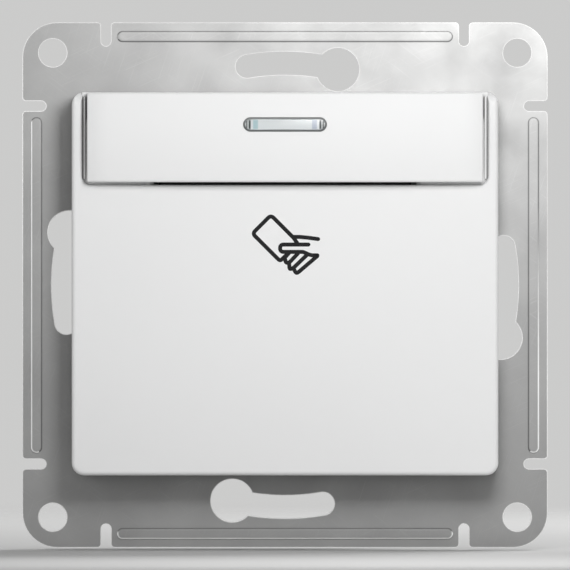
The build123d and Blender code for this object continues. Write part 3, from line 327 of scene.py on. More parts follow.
def makeSoftPress():
    # eases the flanks of the pressed beads toward the sheet's own direction, and gives the masks for the
    # painted shade and painted highlight on them
    group, entry, end = startGroup(
        "softPress",
        [("Normal", "NodeSocketVector", (0, 0, 0)), ("Front", "NodeSocketFloat", -1.0 * mm),
         ("Rim", "NodeSocketFloat", 32.0 * mm), ("Amount", "NodeSocketFloat", 0.5)],
        [("Normal", "NodeSocketVector"), ("FlankShade", "NodeSocketFloat"), ("FlankHighlight", "NodeSocketFloat"),
         ("Lower", "NodeSocketFloat"), ("Elsewhere", "NodeSocketFloat")],
    )
    place = addNode(group, "ShaderNodeTexCoord", -1300, 0)
    axes = addNode(group, "ShaderNodeSeparateXYZ", -1100, 0)
    surface = addNode(group, "ShaderNodeNewGeometry", -900, -300)
    ahead = addNode(group, "ShaderNodeVectorMath", -700, -300, operation="DOT_PRODUCT")
    ahead.inputs[1].default_value = (0, -1, 0)
    sloped = addNode(group, "ShaderNodeMapRange", -500, -300)
    setInputs(sloped, {"From Min": beadRows["level"], "From Max": beadRows["steep"]})
    flankShade = addNode(group, "ShaderNodeMath", -100, -300, operation="MULTIPLY")
    link(group, surface.outputs["True Normal"], ahead.inputs[0])
    link(group, ahead.outputs["Value"], sloped.inputs["Value"])
    link(group, sloped.outputs["Result"], flankShade.inputs[0])
    # of a bead's two flanks the outer one gets a painted highlight, but not where it looks up
    outward = addNode(group, "ShaderNodeVectorMath", -700, -500, operation="DOT_PRODUCT")
    outer = addNode(group, "ShaderNodeMath", -500, -500, operation="GREATER_THAN")
    outer.inputs[1].default_value = 0.0
    facing = addNode(group, "ShaderNodeSeparateXYZ", -700, -700)
    level = addNode(group, "ShaderNodeMapRange", -500, -700)
    setInputs(level, {"From Min": beadRows["upward"], "From Max": beadRows["sideways"]})
    outerSideways = addNode(group, "ShaderNodeMath", -300, -600, operation="MULTIPLY")
    link(group, surface.outputs["True Normal"], outward.inputs[0])
    link(group, place.outputs["Object"], outward.inputs[1])
    link(group, outward.outputs["Value"], outer.inputs[0])
    link(group, surface.outputs["True Normal"], facing.inputs[0])
    link(group, facing.outputs["Z"], level.inputs["Value"])
    link(group, outer.outputs[0], outerSideways.inputs[0])
    link(group, level.outputs["Result"], outerSideways.inputs[1])
    # all painted highlights, on the outer flanks and the edge lines, get brighter from the upper right corner
    # to the lower left one
    tilt = addNode(group, "ShaderNodeVectorMath", -700, -950, operation="DOT_PRODUCT")
    tilt.inputs[1].default_value = beadRows["tilt"]
    lower = addNode(group, "ShaderNodeMapRange", -500, -950)
    setInputs(lower, {"From Min": beadRows["dull"] * mm, "From Max": beadRows["bright"] * mm})
    highlightMask = addNode(group, "ShaderNodeMath", -100, -700, operation="MULTIPLY")
    link(group, place.outputs["Object"], tilt.inputs[0])
    link(group, tilt.outputs["Value"], lower.inputs["Value"])
    link(group, outerSideways.outputs[0], highlightMask.inputs[0])
    link(group, lower.outputs["Result"], highlightMask.inputs[1])
    link(group, highlightMask.outputs[0], end.inputs["FlankHighlight"])
    link(group, lower.outputs["Result"], end.inputs["Lower"])
    wide = addNode(group, "ShaderNodeMath", -900, 200, operation="ABSOLUTE")
    tall = addNode(group, "ShaderNodeMath", -900, 0, operation="ABSOLUTE")
    far = addNode(group, "ShaderNodeMath", -700, 100, operation="MAXIMUM")
    outside = addNode(group, "ShaderNodeMath", -500, 100, operation="GREATER_THAN")
    proud = addNode(group, "ShaderNodeMath", -500, -100, operation="LESS_THAN")
    both = addNode(group, "ShaderNodeMath", -300, 0, operation="MULTIPLY")
    share = addNode(group, "ShaderNodeMath", -100, 0, operation="MULTIPLY")
    mix = addNode(group, "ShaderNodeMix", 150, 0, data_type="VECTOR")
    mix.inputs[5].default_value = (0, -1, 0)
    unit = addNode(group, "ShaderNodeVectorMath", 400, 0, operation="NORMALIZE")
    # strip of sheet that the beads stand on, where no bright edge line is painted
    near = addNode(group, "ShaderNodeMath", -700, 400, operation="MINIMUM")
    short = addNode(group, "ShaderNodeMath", -500, 400, operation="LESS_THAN")
    short.inputs[1].default_value = beadRows["half"] * mm
    along = addNode(group, "ShaderNodeMath", -500, 600, operation="COMPARE")
    along.inputs[1].default_value = beadRows["row"] * mm
    along.inputs[2].default_value = beadRows["reach"] * mm
    strip = addNode(group, "ShaderNodeMath", -300, 500, operation="MULTIPLY")
    rest = addNode(group, "ShaderNodeMath", -100, 500, operation="SUBTRACT")
    rest.inputs[0].default_value = 1.0
    link(group, wide.outputs[0], near.inputs[0])
    link(group, tall.outputs[0], near.inputs[1])
    link(group, near.outputs[0], short.inputs[0])
    link(group, far.outputs[0], along.inputs[0])
    link(group, short.outputs[0], strip.inputs[0])
    link(group, along.outputs[0], strip.inputs[1])
    link(group, strip.outputs[0], rest.inputs[1])
    link(group, rest.outputs[0], end.inputs["Elsewhere"])
    link(group, place.outputs["Object"], axes.inputs[0])
    link(group, axes.outputs["X"], wide.inputs[0])
    link(group, axes.outputs["Z"], tall.inputs[0])
    link(group, wide.outputs[0], far.inputs[0])
    link(group, tall.outputs[0], far.inputs[1])
    link(group, far.outputs[0], outside.inputs[0])
    link(group, entry.outputs["Rim"], outside.inputs[1])
    link(group, axes.outputs["Y"], proud.inputs[0])
    link(group, entry.outputs["Front"], proud.inputs[1])
    link(group, outside.outputs[0], both.inputs[0])
    link(group, proud.outputs[0], both.inputs[1])
    link(group, both.outputs[0], share.inputs[0])
    link(group, both.outputs[0], flankShade.inputs[1])
    link(group, flankShade.outputs[0], end.inputs["FlankShade"])
    link(group, entry.outputs["Amount"], share.inputs[1])
    link(group, share.outputs[0], mix.inputs[0])
    link(group, entry.outputs["Normal"], mix.inputs[4])
    link(group, mix.outputs[1], unit.inputs[0])
    link(group, unit.outputs["Vector"], end.inputs["Normal"])
    return group


softClouds = makeClouds()
edgeLine = makeEdgeLine()
fineScratches = makeScratches()
fineGrain = makeGrain()
gapShadeMask = makeGapShadeMask()
twinBars = makeTwinBars()
softPress = makeSoftPress()
print("stage: shared node groups made")


# Finishes

scratchWidth = 0.1
grainDepth = 0.02
metalDrift = (0.05, 0.06)   # how far a metal's roughness drifts below and above its own value


def mixColour(tree, x, y, mode="MIX"):
    # a colour mix, given as its sockets: factor, first colour, second colour, result
    node = addNode(tree, "ShaderNodeMix", x, y, data_type="RGBA", blend_type=mode)
    return node.inputs[0], node.inputs[6], node.inputs[7], node.outputs[2]


def blendTwo(tree, x, y, mask, first, second):
    # colour that goes from first to second by a mask
    fac, low, high, out = mixColour(tree, x, y)
    low.default_value = (*first, 1)
    high.default_value = (*second, 1)
    link(tree, mask, fac)
    return out


def layOver(tree, x, y, mask, under, over):
    # colour of a socket with another one laid over it by a mask; over is a plain colour or a socket
    fac, low, high, out = mixColour(tree, x, y)
    link(tree, mask, fac)
    link(tree, under, low)
    if isinstance(over, tuple):
        high.default_value = (*over, 1)
    else:
        link(tree, over, high)
    return out


def paintGapShade(tree, x, y, look, colour):
    # narrow gaps and inner corners take the look's painted shade colour
    gaps = placeGroup(tree, gapShadeMask, x, y, {"Reach": look["reach"] * mm, "Amount": look["gapShadeAmount"]})
    return layOver(tree, x + 250, y - 200, gaps.outputs["Mask"], colour, look["inside"])


def bumpFrom(tree, x, y, height, strength, distance, normal=None):
    bump = addNode(tree, "ShaderNodeBump", x, y)
    setInputs(bump, {"Strength": strength, "Distance": distance})
    link(tree, height, bump.inputs["Height"])
    if normal is not None:
        link(tree, normal, bump.inputs["Normal"])
    return bump.outputs["Normal"]


def sheetMetal(name, look):
    # plated or bare sheet: clouded colour, rolled grain, scratches, bright rubbed edges; on the zinc plate
    # the edges also carry a painted highlight
    mat, tree, shader = newMaterial(name)
    clouds = placeGroup(tree, softClouds, -1100, 300, {"Size": look["cloudSize"], "Detail": 4.0})
    edges = placeGroup(tree, edgeLine, -1100, -100,
                       {"Radius": look["edge"] * mm, "Width": look.get("edgeWidth", 0.15)})
    marks = placeGroup(tree, fineScratches, -1100, -350,
                       {"Length": look["scratchLength"], "Width": scratchWidth, "Amount": look["scratches"]})
    grain = placeGroup(tree, fineGrain, -1100, -600, {"Size": look["grain"], "Stretch": look["stretch"]})
    colour = blendTwo(tree, -850, 300, clouds.outputs["Value"], look["dark"], look["light"])
    colour = layOver(tree, -600, 250, marks.outputs["Mask"], colour, look["mark"])
    edgeMask, rubAndHighlight, normal = edges.outputs["Mask"], look["rubAndHighlight"], edges.outputs["Normal"]
    if "press" in look:
        flat = addNode(tree, "ShaderNodeNewGeometry", -1100, -250)
        eased = placeGroup(tree, softPress, -850, -250,
                           {"Front": beadRows["front"] * mm, "Rim": beadRows["rim"] * mm,
                            "Amount": look["press"]})
        link(tree, flat.outputs["Normal"], eased.inputs["Normal"])
        away = addNode(tree, "ShaderNodeMath", -600, -150, operation="MULTIPLY")
        link(tree, edgeMask, away.inputs[0])
        link(tree, eased.outputs["Elsewhere"], away.inputs[1])
        edgeMask, normal = away.outputs[0], eased.outputs["Normal"]
        # edge lines get a painted highlight that grows toward the lower left
        rubAndHighlight = blendTwo(tree, -600, 500, eased.outputs["Lower"], look["rubAndHighlight"], look["rubAndHighlightLower"])
    colour = layOver(tree, -350, 200, edgeMask, colour, rubAndHighlight)
    if "gapShadeAmount" in look:
        colour = paintGapShade(tree, -350, 500, look, colour)
    if "press" in look:
        # bead flanks take a painted shade, with a painted highlight on their outer side
        paintedFlankLight = blendTwo(tree, -100, 600, eased.outputs["FlankHighlight"], look["flankShade"], look["paintedFlankLight"])
        colour = layOver(tree, 150, 300, eased.outputs["FlankShade"], colour, paintedFlankLight)
    link(tree, colour, shader.inputs["Base Color"])
    least, most = look["rough"] - metalDrift[0], look["rough"] + metalDrift[1]
    rough = placeGroup(tree, softClouds, -600, -50,
                       {"Size": look["cloudSize"] * 0.6, "Detail": 3.0, "Low": least, "High": most})
    link(tree, rough.outputs["Value"], shader.inputs["Roughness"])
    normal = bumpFrom(tree, -350, -400, grain.outputs["Height"], look["bump"], grainDepth * mm, normal)
    link(tree, normal, shader.inputs["Normal"])
    setInputs(shader, {"Metallic": look["metal"]})
    return mat


def mouldedPlastic(name, look):
    # injection moulding: faint flow clouds, fine texture, slightly worn edges
    mat, tree, shader = newMaterial(name)
    clouds = placeGroup(tree, softClouds, -900, 300, {"Size": look["cloudSize"], "Detail": 2.0})
    edges = placeGroup(tree, edgeLine, -900, 0, {"Radius": look["edge"] * mm, "Width": 0.25})
    grain = placeGroup(tree, fineGrain, -900, -300, {"Size": look["grain"]})
    colour = blendTwo(tree, -650, 300, clouds.outputs["Value"], look["dark"], look["light"])
    colour = layOver(tree, -400, 250, edges.outputs["Mask"], colour, look["rubAndHighlight"])
    if "gapShadeAmount" in look:
        colour = paintGapShade(tree, -400, 500, look, colour)
    link(tree, colour, shader.inputs["Base Color"])
    least, most = look["rough"] - look["roughDrift"], look["rough"] + look["roughDrift"]
    rough = placeGroup(tree, softClouds, -650, 0,
                       {"Size": look["cloudSize"] * 0.4, "Detail": 3.0, "Low": least, "High": most})
    link(tree, rough.outputs["Value"], shader.inputs["Roughness"])
    normal = bumpFrom(tree, -400, -300, grain.outputs["Height"], look["bump"], grainDepth * mm,
                      edges.outputs["Normal"])
    link(tree, normal, shader.inputs["Normal"])
    setInputs(shader, {"Metallic": 0.0, "IOR": look["ior"]})
    return mat


zincLook = {
    "dark": (0.268, 0.268, 0.267), "light": (0.337, 0.337, 0.335), "mark": (0.46, 0.46, 0.46),
    # rub: bright edge lines, partly rubbed wear and partly a painted highlight; rubAndHighlightLower: their
    # painted highlight toward the lower left
    "rubAndHighlight": (0.46, 0.46, 0.455), "rubAndHighlightLower": (0.95, 0.95, 0.945),
    "cloudSize": 9.0, "edge": 0.20, "edgeWidth": 0.10, "scratchLength": 9.0, "scratches": 0.22,
    "grain": 0.16, "stretch": 1.0, "rough": 0.45, "bump": 0.18, "metal": 1.0,
    # press eases the bead flanks; flank is a painted shade on them, shine a painted highlight on their outer
    # side
    "press": 0.93, "flankShade": (0.10, 0.10, 0.10), "paintedFlankLight": (0.95, 0.95, 0.945),
    # inside and crevice: painted shade in the gaps and on the sheet next to the cover, over this reach
    "inside": (0.11, 0.11, 0.11), "gapShadeAmount": 0.2, "reach": 7.0,
}
screwLook = {
    "dark": (0.52, 0.52, 0.50), "light": (0.62, 0.61, 0.58),
    "mark": (0.75, 0.74, 0.70), "rubAndHighlight": (0.88, 0.87, 0.84),
    "cloudSize": 3.0, "edge": 0.1, "scratchLength": 2.5, "scratches": 0.4,
    "grain": 0.12, "stretch": 1.0, "rough": 0.30, "bump": 0.2, "metal": 1.0,
}
springLook = {
    "dark": (0.42, 0.42, 0.43), "light": (0.55, 0.55, 0.55),
    "mark": (0.7, 0.7, 0.7), "rubAndHighlight": (0.75, 0.75, 0.75),
    "cloudSize": 1.5, "edge": 0.02, "scratchLength": 1.0, "scratches": 0.3,
    "grain": 0.08, "stretch": 6.0, "rough": 0.28, "bump": 0.2, "metal": 1.0,
}
brassLook = {
    "dark": (0.62, 0.44, 0.20), "light": (0.76, 0.57, 0.28),
    "mark": (0.85, 0.68, 0.38), "rubAndHighlight": (0.92, 0.76, 0.45),
    "cloudSize": 4.0, "edge": 0.1, "scratchLength": 5.0, "scratches": 0.35,
    "grain": 0.12, "stretch": 8.0, "rough": 0.33, "bump": 0.25, "metal": 1.0,
}
silverLook = {
    "dark": (0.70, 0.69, 0.66), "light": (0.84, 0.83, 0.80),
    "mark": (0.9, 0.9, 0.88), "rubAndHighlight": (0.93, 0.93, 0.92),
    "cloudSize": 0.9, "edge": 0.06, "scratchLength": 0.8, "scratches": 0.25,
    "grain": 0.06, "stretch": 1.0, "rough": 0.30, "bump": 0.15, "metal": 1.0,
}
whiteLook = {
    "dark": (0.870, 0.872, 0.870), "light": (0.890, 0.892, 0.890), "rubAndHighlight": (0.90, 0.902, 0.90),
    "cloudSize": 30.0, "edge": 0.08, "grain": 0.9, "rough": 0.52, "roughDrift": 0.012,
    # inside and crevice: painted shade in narrow gaps and inner corners
    "bump": 0.01, "ior": 1.48, "inside": (0.10, 0.10, 0.10), "gapShadeAmount": 0.9, "reach": 1.0,
}
greyLook = {
    "dark": (0.56, 0.57, 0.57), "light": (0.63, 0.64, 0.64), "rubAndHighlight": (0.72, 0.73, 0.73),
    "cloudSize": 12.0, "edge": 0.12, "grain": 0.12, "rough": 0.52, "roughDrift": 0.05,
    "bump": 0.35, "ior": 1.5,
}
blackLook = {
    "dark": (0.022, 0.022, 0.023), "light": (0.034, 0.034, 0.035), "rubAndHighlight": (0.07, 0.07, 0.07),
    "cloudSize": 6.0, "edge": 0.1, "grain": 0.15, "rough": 0.42, "roughDrift": 0.05, "bump": 0.25, "ior": 1.5,
}
laminateLook = {
    "dark": (0.05, 0.22, 0.10), "light": (0.07, 0.29, 0.13), "rubAndHighlight": (0.35, 0.42, 0.28),
    "cloudSize": 3.0, "edge": 0.08, "grain": 0.4, "rough": 0.36, "roughDrift": 0.05, "bump": 0.25, "ior": 1.5,
}
enamelLook = {
    "dark": (0.66, 0.52, 0.34), "light": (0.76, 0.63, 0.44), "rubAndHighlight": (0.82, 0.72, 0.54),
    "cloudSize": 1.2, "edge": 0.05, "grain": 0.2, "rough": 0.25, "roughDrift": 0.04, "bump": 0.15, "ior": 1.5,
}
clearLook = {
    "tint": (0.93, 0.97, 0.98), "shade": (0.88, 0.95, 0.965), "rough": 0.06, "ior": 1.49, "clear": 1.0,
}
milkyLook = {
    "tint": (0.95, 0.99, 1.0), "shade": (0.93, 0.98, 0.99), "rough": 0.10, "ior": 1.49, "clear": 0.30,
    # painted shade on the bevelled rim, lighter where it looks up than where it looks down
    "rimShadeAbove": (0.50, 0.52, 0.52), "rimShadeBelow": (0.34, 0.36, 0.36),
    # how far a face looks to the front where the rim begins and where it is steep
    "level": 0.95, "steep": 0.80,
    # two grooves and one prism at each end, seen through the front and painted on it, the grooves as painted
    # shade and the prism as a faint painted reflection, all at this height and of this half height; each has
    # its distance from the middle, its half width, its colour at the left and at the right
    "middle": 21.6, "height": 0.62, "barAmount": 0.95,
    "bars": ((4.77, 0.15, (0.07, 0.085, 0.085), (0.07, 0.085, 0.085)),
             (5.14, 0.10, (0.12, 0.13, 0.13), (0.12, 0.13, 0.13)),
             (3.97, 0.33, (0.56, 0.78, 0.83), (0.62, 0.68, 0.80))),
}


def clearPlastic(name, look):
    # clear moulding: faint tint that drifts, roughness that varies a little
    mat, tree, shader = newMaterial(name)
    clouds = placeGroup(tree, softClouds, -700, 200, {"Size": 2.5, "Detail": 1.0})
    link(tree, blendTwo(tree, -450, 200, clouds.outputs["Value"], look["shade"], look["tint"]),
         shader.inputs["Base Color"])
    rough = placeGroup(tree, softClouds, -450, -50,
                       {"Size": 1.2, "Low": look["rough"] * 0.6, "High": look["rough"] * 1.4})
    link(tree, rough.outputs["Value"], shader.inputs["Roughness"])
    setInputs(shader, {"Transmission Weight": look["clear"], "IOR": look["ior"], "Metallic": 0.0})
    return mat


def milkyPlastic(name, look):
    # lens: hazy clear moulding with painted shade on its rim and where its back grooves show, and a faint
    # painted reflection where its prisms show
    mat = clearPlastic(name, look)
    tree = mat.node_tree
    shader = tree.nodes["Principled BSDF"]
    colour = shader.inputs["Base Color"].links[0].from_socket
    # grooves painted as shade, prisms as a faint painted reflection
    for step, (offset, half, left, right) in enumerate(look["bars"]):
        bars = placeGroup(tree, twinBars, -700, 500 + 250 * step,
                          {"Offset": offset * mm, "Half": half * mm, "Middle": look["middle"] * mm,
                           "Height": look["height"] * mm, "Amount": look["barAmount"]})
        hue = blendTwo(tree, -400, 500 + 250 * step, bars.outputs["Side"], left, right)
        colour = layOver(tree, -100, 500 + 250 * step, bars.outputs["Mask"], colour, hue)
    # the bevelled rim is the face that turns away from the front, and takes a painted shade
    surface = addNode(tree, "ShaderNodeNewGeometry", -700, 1500)
    ahead = addNode(tree, "ShaderNodeVectorMath", -500, 1500, operation="DOT_PRODUCT")
    ahead.inputs[1].default_value = (0, -1, 0)
    sloped = addNode(tree, "ShaderNodeMapRange", -300, 1500)
    setInputs(sloped, {"From Min": look["level"], "From Max": look["steep"]})
    facing = addNode(tree, "ShaderNodeSeparateXYZ", -500, 1700)
    upward = addNode(tree, "ShaderNodeMapRange", -300, 1700)
    setInputs(upward, {"From Min": -0.3, "From Max": 0.3})
    link(tree, surface.outputs["True Normal"], facing.inputs[0])
    link(tree, facing.outputs["Z"], upward.inputs["Value"])
    link(tree, surface.outputs["True Normal"], ahead.inputs[0])
    link(tree, ahead.outputs["Value"], sloped.inputs["Value"])
    rim = blendTwo(tree, -100, 1700, upward.outputs["Result"], look["rimShadeBelow"], look["rimShadeAbove"])
    colour = layOver(tree, 100, 350, sloped.outputs["Result"], colour, rim)
    link(tree, colour, shader.inputs["Base Color"])
    return mat


finishes = {
    "zinc_steel": sheetMetal("zincSteel", zincLook),
    "terminal_steel": sheetMetal("screwSteel", screwLook),
    "spring_steel": sheetMetal("springWire", springLook),
    "brass": sheetMetal("brassStrip", brassLook),
    "silver": sheetMetal("silverContact", silverLook),
    "white_plastic": mouldedPlastic("whitePlastic", whiteLook),
    "grey_plastic": mouldedPlastic("greyPlastic", greyLook),
    "black_plastic": mouldedPlastic("blackPlastic", blackLook),
    "board_laminate": mouldedPlastic("boardLaminate", laminateLook),
    "resistor_enamel": mouldedPlastic("resistorEnamel", enamelLook),
    "clear_plastic": clearPlastic("clearPlastic", clearLook),
}
for part in frame["record"]["subparts"]:
    mesh = frame["nodes"][part["node"]].data
    mesh.materials.clear()
    mesh.materials.append(finishes[part["material_slot"]])
lensMesh = frame["nodes"]["indicator_lens"].data
lensMesh.materials.clear()
lensMesh.materials.append(milkyPlastic("milkyLens", milkyLook))
print("stage: finishes placed")


# Meshes made here

def meshObject(name, bm, material):
    mesh = bpy.data.meshes.new(name)
    bm.normal_update()
    bm.to_mesh(mesh)
    bm.free()
    mesh.materials.append(material)
    obj = bpy.data.objects.new(name, mesh)
    bpy.context.scene.collection.objects.link(obj)
    return obj


# Sign printed on the cover: a card held by a hand, in line strokes

sign = {
    "face": -10.0,        # front of the cover
    "stroke": 0.54,       # line width
    "ink": 0.012,         # height of the ink above the cover
    "sunk": 0.004,        # how far its underside lies in the cover
    "step": 0.0004,       # difference in height between two lines
    "dark": (0.010, 0.010, 0.011), "light": (0.018, 0.018, 0.019), "cloudSize": 0.8,
    "rough": (0.55, 0.7), "roughSize": 0.4, "specular": 0.15,
    "cornerSteps": 8, "capSteps": 10,    # steps round a corner and round a line's end
    # each line: points (across, up) and the radius that rounds each inner point
    "lines": {
        "card": (((0.11, 3.97), (-0.66, 3.22), (-4.38, 6.94), (-1.90, 9.42), (1.17, 6.34), (1.63, 5.66)),
                 (0.35, 0.5, 0.55, 0.8)),
        "backOfHand": (((1.17, 6.48), (1.95, 6.48), (3.15, 6.37), (4.46, 6.19)), (1.5, 2.0)),
        "thumb": (((3.15, 5.45), (-0.66, 5.45), (-0.66, 4.46), (2.44, 4.46), (3.22, 4.11), (3.64, 4.00),
                   (4.35, 4.00)), (0.49, 0.49, 0.8, 0.5, 0.6)),
        "firstFinger": (((4.35, 3.90), (2.09, 1.97), (1.52, 1.50), (1.17, 2.20)), (1.2, 0.3)),
        "secondFinger": (((2.94, 4.04), (1.20, 2.36), (0.62, 2.05), (0.54, 3.05)), (0.5, 0.3)),
        "thirdFinger": (((1.74, 4.25), (0.61, 3.05), (0.14, 2.96), (-0.03, 3.62)), (0.4, 0.25)),
        "lastFinger": (((0.54, 4.32), (-0.03, 3.69)), ()),
    },
}


def inkMaterial():
    mat, tree, shader = newMaterial("printInk")
    clouds = placeGroup(tree, softClouds, -700, 200, {"Size": sign["cloudSize"], "Detail": 3.0})
    link(tree, blendTwo(tree, -450, 200, clouds.outputs["Value"], sign["dark"], sign["light"]),
         shader.inputs["Base Color"])
    least, most = sign["rough"]
    rough = placeGroup(tree, softClouds, -450, -50, {"Size": sign["roughSize"], "Low": least, "High": most})
    link(tree, rough.outputs["Value"], shader.inputs["Roughness"])
    setInputs(shader, {"Specular IOR Level": sign["specular"]})
    return mat


def roundedPath(points, radii):
    # the line through these points, its inner corners turned into arcs
    spots = [Vector(point) for point in points]
    path = [spots[0]]
    for before, corner, after, radius in zip(spots, spots[1:], spots[2:], radii):
        back, ahead = (before - corner), (after - corner)
        angle = back.angle(ahead)
        reach = min(radius / math.tan(angle / 2), back.length * 0.5, ahead.length * 0.5)
        start, end = corner + back.normalized() * reach, corner + ahead.normalized() * reach
        for step in range(sign["cornerSteps"] + 1):
            t = step / sign["cornerSteps"]
            path.append(start * (1 - t) ** 2 + corner * 2 * t * (1 - t) + end * t ** 2)
    path.append(spots[-1])
    return path


def strokeOutline(path, half):
    # closed outline round the path: one side, a round end, the other side, a round end
    sides = ([], [])
    for index, spot in enumerate(path):
        before, after = path[max(index - 1, 0)], path[min(index + 1, len(path) - 1)]
        along = (after - before).normalized()
        normal = Vector((-along.y, along.x))
        sides[0].append(spot + normal * half)
        sides[1].append(spot - normal * half)
    caps = []
    for spot, toward in ((path[-1], path[-2]), (path[0], path[1])):
        first = math.atan2(spot.y - toward.y, spot.x - toward.x) + math.pi / 2
        angles = [first - math.pi * k / sign["capSteps"] for k in range(1, sign["capSteps"])]
        caps.append([spot + half * Vector((math.cos(angle), math.sin(angle))) for angle in angles])
    return sides, caps


def addPatch(bm, top, bottom, spots):
    # one closed slab of ink from a list of outline points
    upper = [bm.verts.new((spot.x * mm, top, spot.y * mm)) for spot in spots]
    lower = [bm.verts.new((spot.x * mm, bottom, spot.y * mm)) for spot in spots]
    bm.faces.new(upper)
    bm.faces.new(lower[::-1])
    count = len(spots)
    for k in range(count):
        bm.faces.new((upper[k], lower[k], lower[(k + 1) % count], upper[(k + 1) % count]))


def printSign():
    bm = bmesh.new()
    for number, (points, radii) in enumerate(sign["lines"].values()):
        (left, right), (endCap, startCap) = strokeOutline(roundedPath(points, radii), sign["stroke"] / 2)
        # lines that meet get heights a hair apart, so that no two faces share a plane
        top = (sign["face"] - sign["ink"] - sign["step"] * number) * mm
        bottom = (sign["face"] + sign["sunk"] + sign["step"] * number) * mm
        addPatch(bm, top, bottom, left + endCap + right[::-1] + startCap)
    bmesh.ops.recalc_face_normals(bm, faces=bm.faces)
    bmesh.ops.triangulate(bm, faces=bm.faces)
    sheet = meshObject("printedSign", bm, inkMaterial())
    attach(sheet, "switch_base")


printSign()
print("stage: sign printed")


# Threaded screws: the head stays as it is, the plain shank gives way to a core with a thread round it

# along is the index of the screw's axis, under is where the shank leaves the head, tip is its end
clawScrew = {"along": 1, "under": -1.0, "tip": 12.5, "slot": "zinc_steel"}
terminalScrew = {"along": 2, "under": -17.6, "tip": -12.5, "slot": "terminal_steel"}
threads = {
    "claw_screw_left": clawScrew,
    "claw_screw_right": clawScrew,
    "terminal_screw_first": terminalScrew,
    "terminal_screw_common": terminalScrew,
    "terminal_screw_third": terminalScrew,
}
threadForm = {
    "crest": 1.5, "root": 1.22, "pitch": 0.5, "neck": 0.35, "around": 20, "point": 0.5,
    "shy": 0.01,                   # how far the neck stays inside the crest
    "slope": 0.2,                  # length of the cone from the neck to the core
    "lead": 0.3, "runOut": 0.2,    # plain core before the first turn and after the last one
    "foot": 0.42, "flat": 0.07,    # half widths of the thread at the core and at its crest, in pitches
    "sunk": 0.05,                  # how far the thread's foot lies in the core
    "past": 0.05,                  # a face farther than this from the head is part of the plain shank
}


def ringOf(bm, place, form):
    # place turns (distance along, radius, angle) into a point
    return [bm.verts.new(place(form[0], form[1], 2 * math.pi * k / threadForm["around"]))
            for k in range(threadForm["around"])]


def joinRings(bm, first, second):
    count = len(first)
    for k in range(count):
        bm.faces.new((first[k], first[(k + 1) % count], second[(k + 1) % count], second[k]))


def addCore(bm, place, under, tip):
    neck, root, point = threadForm["neck"], threadForm["root"], threadForm["point"]
    wide = threadForm["crest"] - threadForm["shy"]
    form = [(under, wide), (under + neck, wide), (under + neck + threadForm["slope"], root),
            (tip - point, root), (tip, root - point)]
    rings = [ringOf(bm, place, step) for step in form]
    for first, second in zip(rings, rings[1:]):
        joinRings(bm, first, second)
    bm.faces.new(rings[-1])


def addThread(bm, place, under, tip):
    pitch, around, root = threadForm["pitch"], threadForm["around"], threadForm["root"]
    foot, flat, inner = threadForm["foot"], threadForm["flat"], root - threadForm["sunk"]
    start = under + threadForm["neck"] + threadForm["lead"]
    steps = int((tip - threadForm["point"] - threadForm["runOut"] - start) / pitch * around)
    sections = []
    for k in range(steps + 1):
        # the thread grows out of the core and runs back into it over half a turn
        grow = min(1.0, k / (around / 2), (steps - k) / (around / 2))
        crest = root + (threadForm["crest"] - root) * grow
        middle, angle = start + pitch * k / around, 2 * math.pi * k / around
        sections.append([bm.verts.new(place(middle + shift * pitch, radius, angle))
                         for shift, radius in ((-foot, inner), (-flat, crest), (flat, crest), (foot, inner))])
    for first, second in zip(sections, sections[1:]):
        joinRings(bm, first, second)
    bm.faces.new(sections[0])
    bm.faces.new(sections[-1][::-1])


def threadedScrew(node, look):
    low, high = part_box(node)
    along = look["along"]
    middle = (Vector(low) + Vector(high)) / 2 / mm

    def place(distance, radius, angle):
        across, up = radius * math.cos(angle), radius * math.sin(angle)
        shift = (across, up, 0) if along == 2 else (across, 0, up)
        spot = Vector([axis + step for axis, step in zip(middle, shift)])
        spot[along] = distance
        return spot * mm

    bm = bmesh.new()
    bm.from_mesh(frame["nodes"][node].data)
    border = (look["under"] + threadForm["past"]) * mm
    shank = [face for face in bm.faces if face.calc_center_median()[along] > border]
    bmesh.ops.delete(bm, geom=shank, context="FACES")
    addCore(bm, place, look["under"], look["tip"])
    addThread(bm, place, look["under"], look["tip"])
    bmesh.ops.recalc_face_normals(bm, faces=bm.faces)
    screw = meshObject(node + "Threaded", bm, finishes[look["slot"]])
    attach(screw, node)
    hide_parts(node)


for node, look in threads.items():
    threadedScrew(node, look)
print("stage: threads cut")


# Springs: each spring is copied in spring steel in place of its part; the coil is attached to the base, the
# torsion spring is left unattached

springs = {
    "contact": {"node": "contact_spring", "joint": "moving_contact_hinge", "axis": (0, 1, 0),
                "seat": (0, 11.08, 12.0), "keep": 0.64},
    "lever": {"node": "lever_spring", "still": "switch_base", "moving": "card_lever",
              "start": (0, -2.8, 3.4), "end": (0, -2.8, 5.4)},
}


def springCopy(look):
    node = look["node"]
    bm = bmesh.new()
    bm.from_mesh(frame["nodes"][node].data)
    wire = meshObject(node + "Wire", bm, finishes["spring_steel"])
    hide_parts(node)
    return wire


def bendSprings():
    coil = springs["contact"]
    wire = springCopy(coil)
    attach(wire, "switch_base")
    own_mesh(wire)
    twist = springs["lever"]
    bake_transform(springCopy(twist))


bendSprings()


# Floor, light and camera

stageLook = {
    "floorRadius": 600.0, "floorSides": 96, "floorGap": 0.3, "floorRough": 0.9,
    "floorFade": 170.0, "clearShare": 0.98,    # from this distance on, up to this share of the radius
    "frontEdge": -45.0, "rearEdge": 15.0,
    # painted shade on the paper in front and painted light behind the object
    "frontPaintedShade": (0.42, 0.42, 0.417), "rearPaintedLight": (0.54, 0.54, 0.536),
    "cloudSize": 40.0, "cloudShare": 0.03,
    "backdrop": (0.60, 0.60, 0.595, 1), "ambient": (0.30, 0.30, 0.303, 1),
}


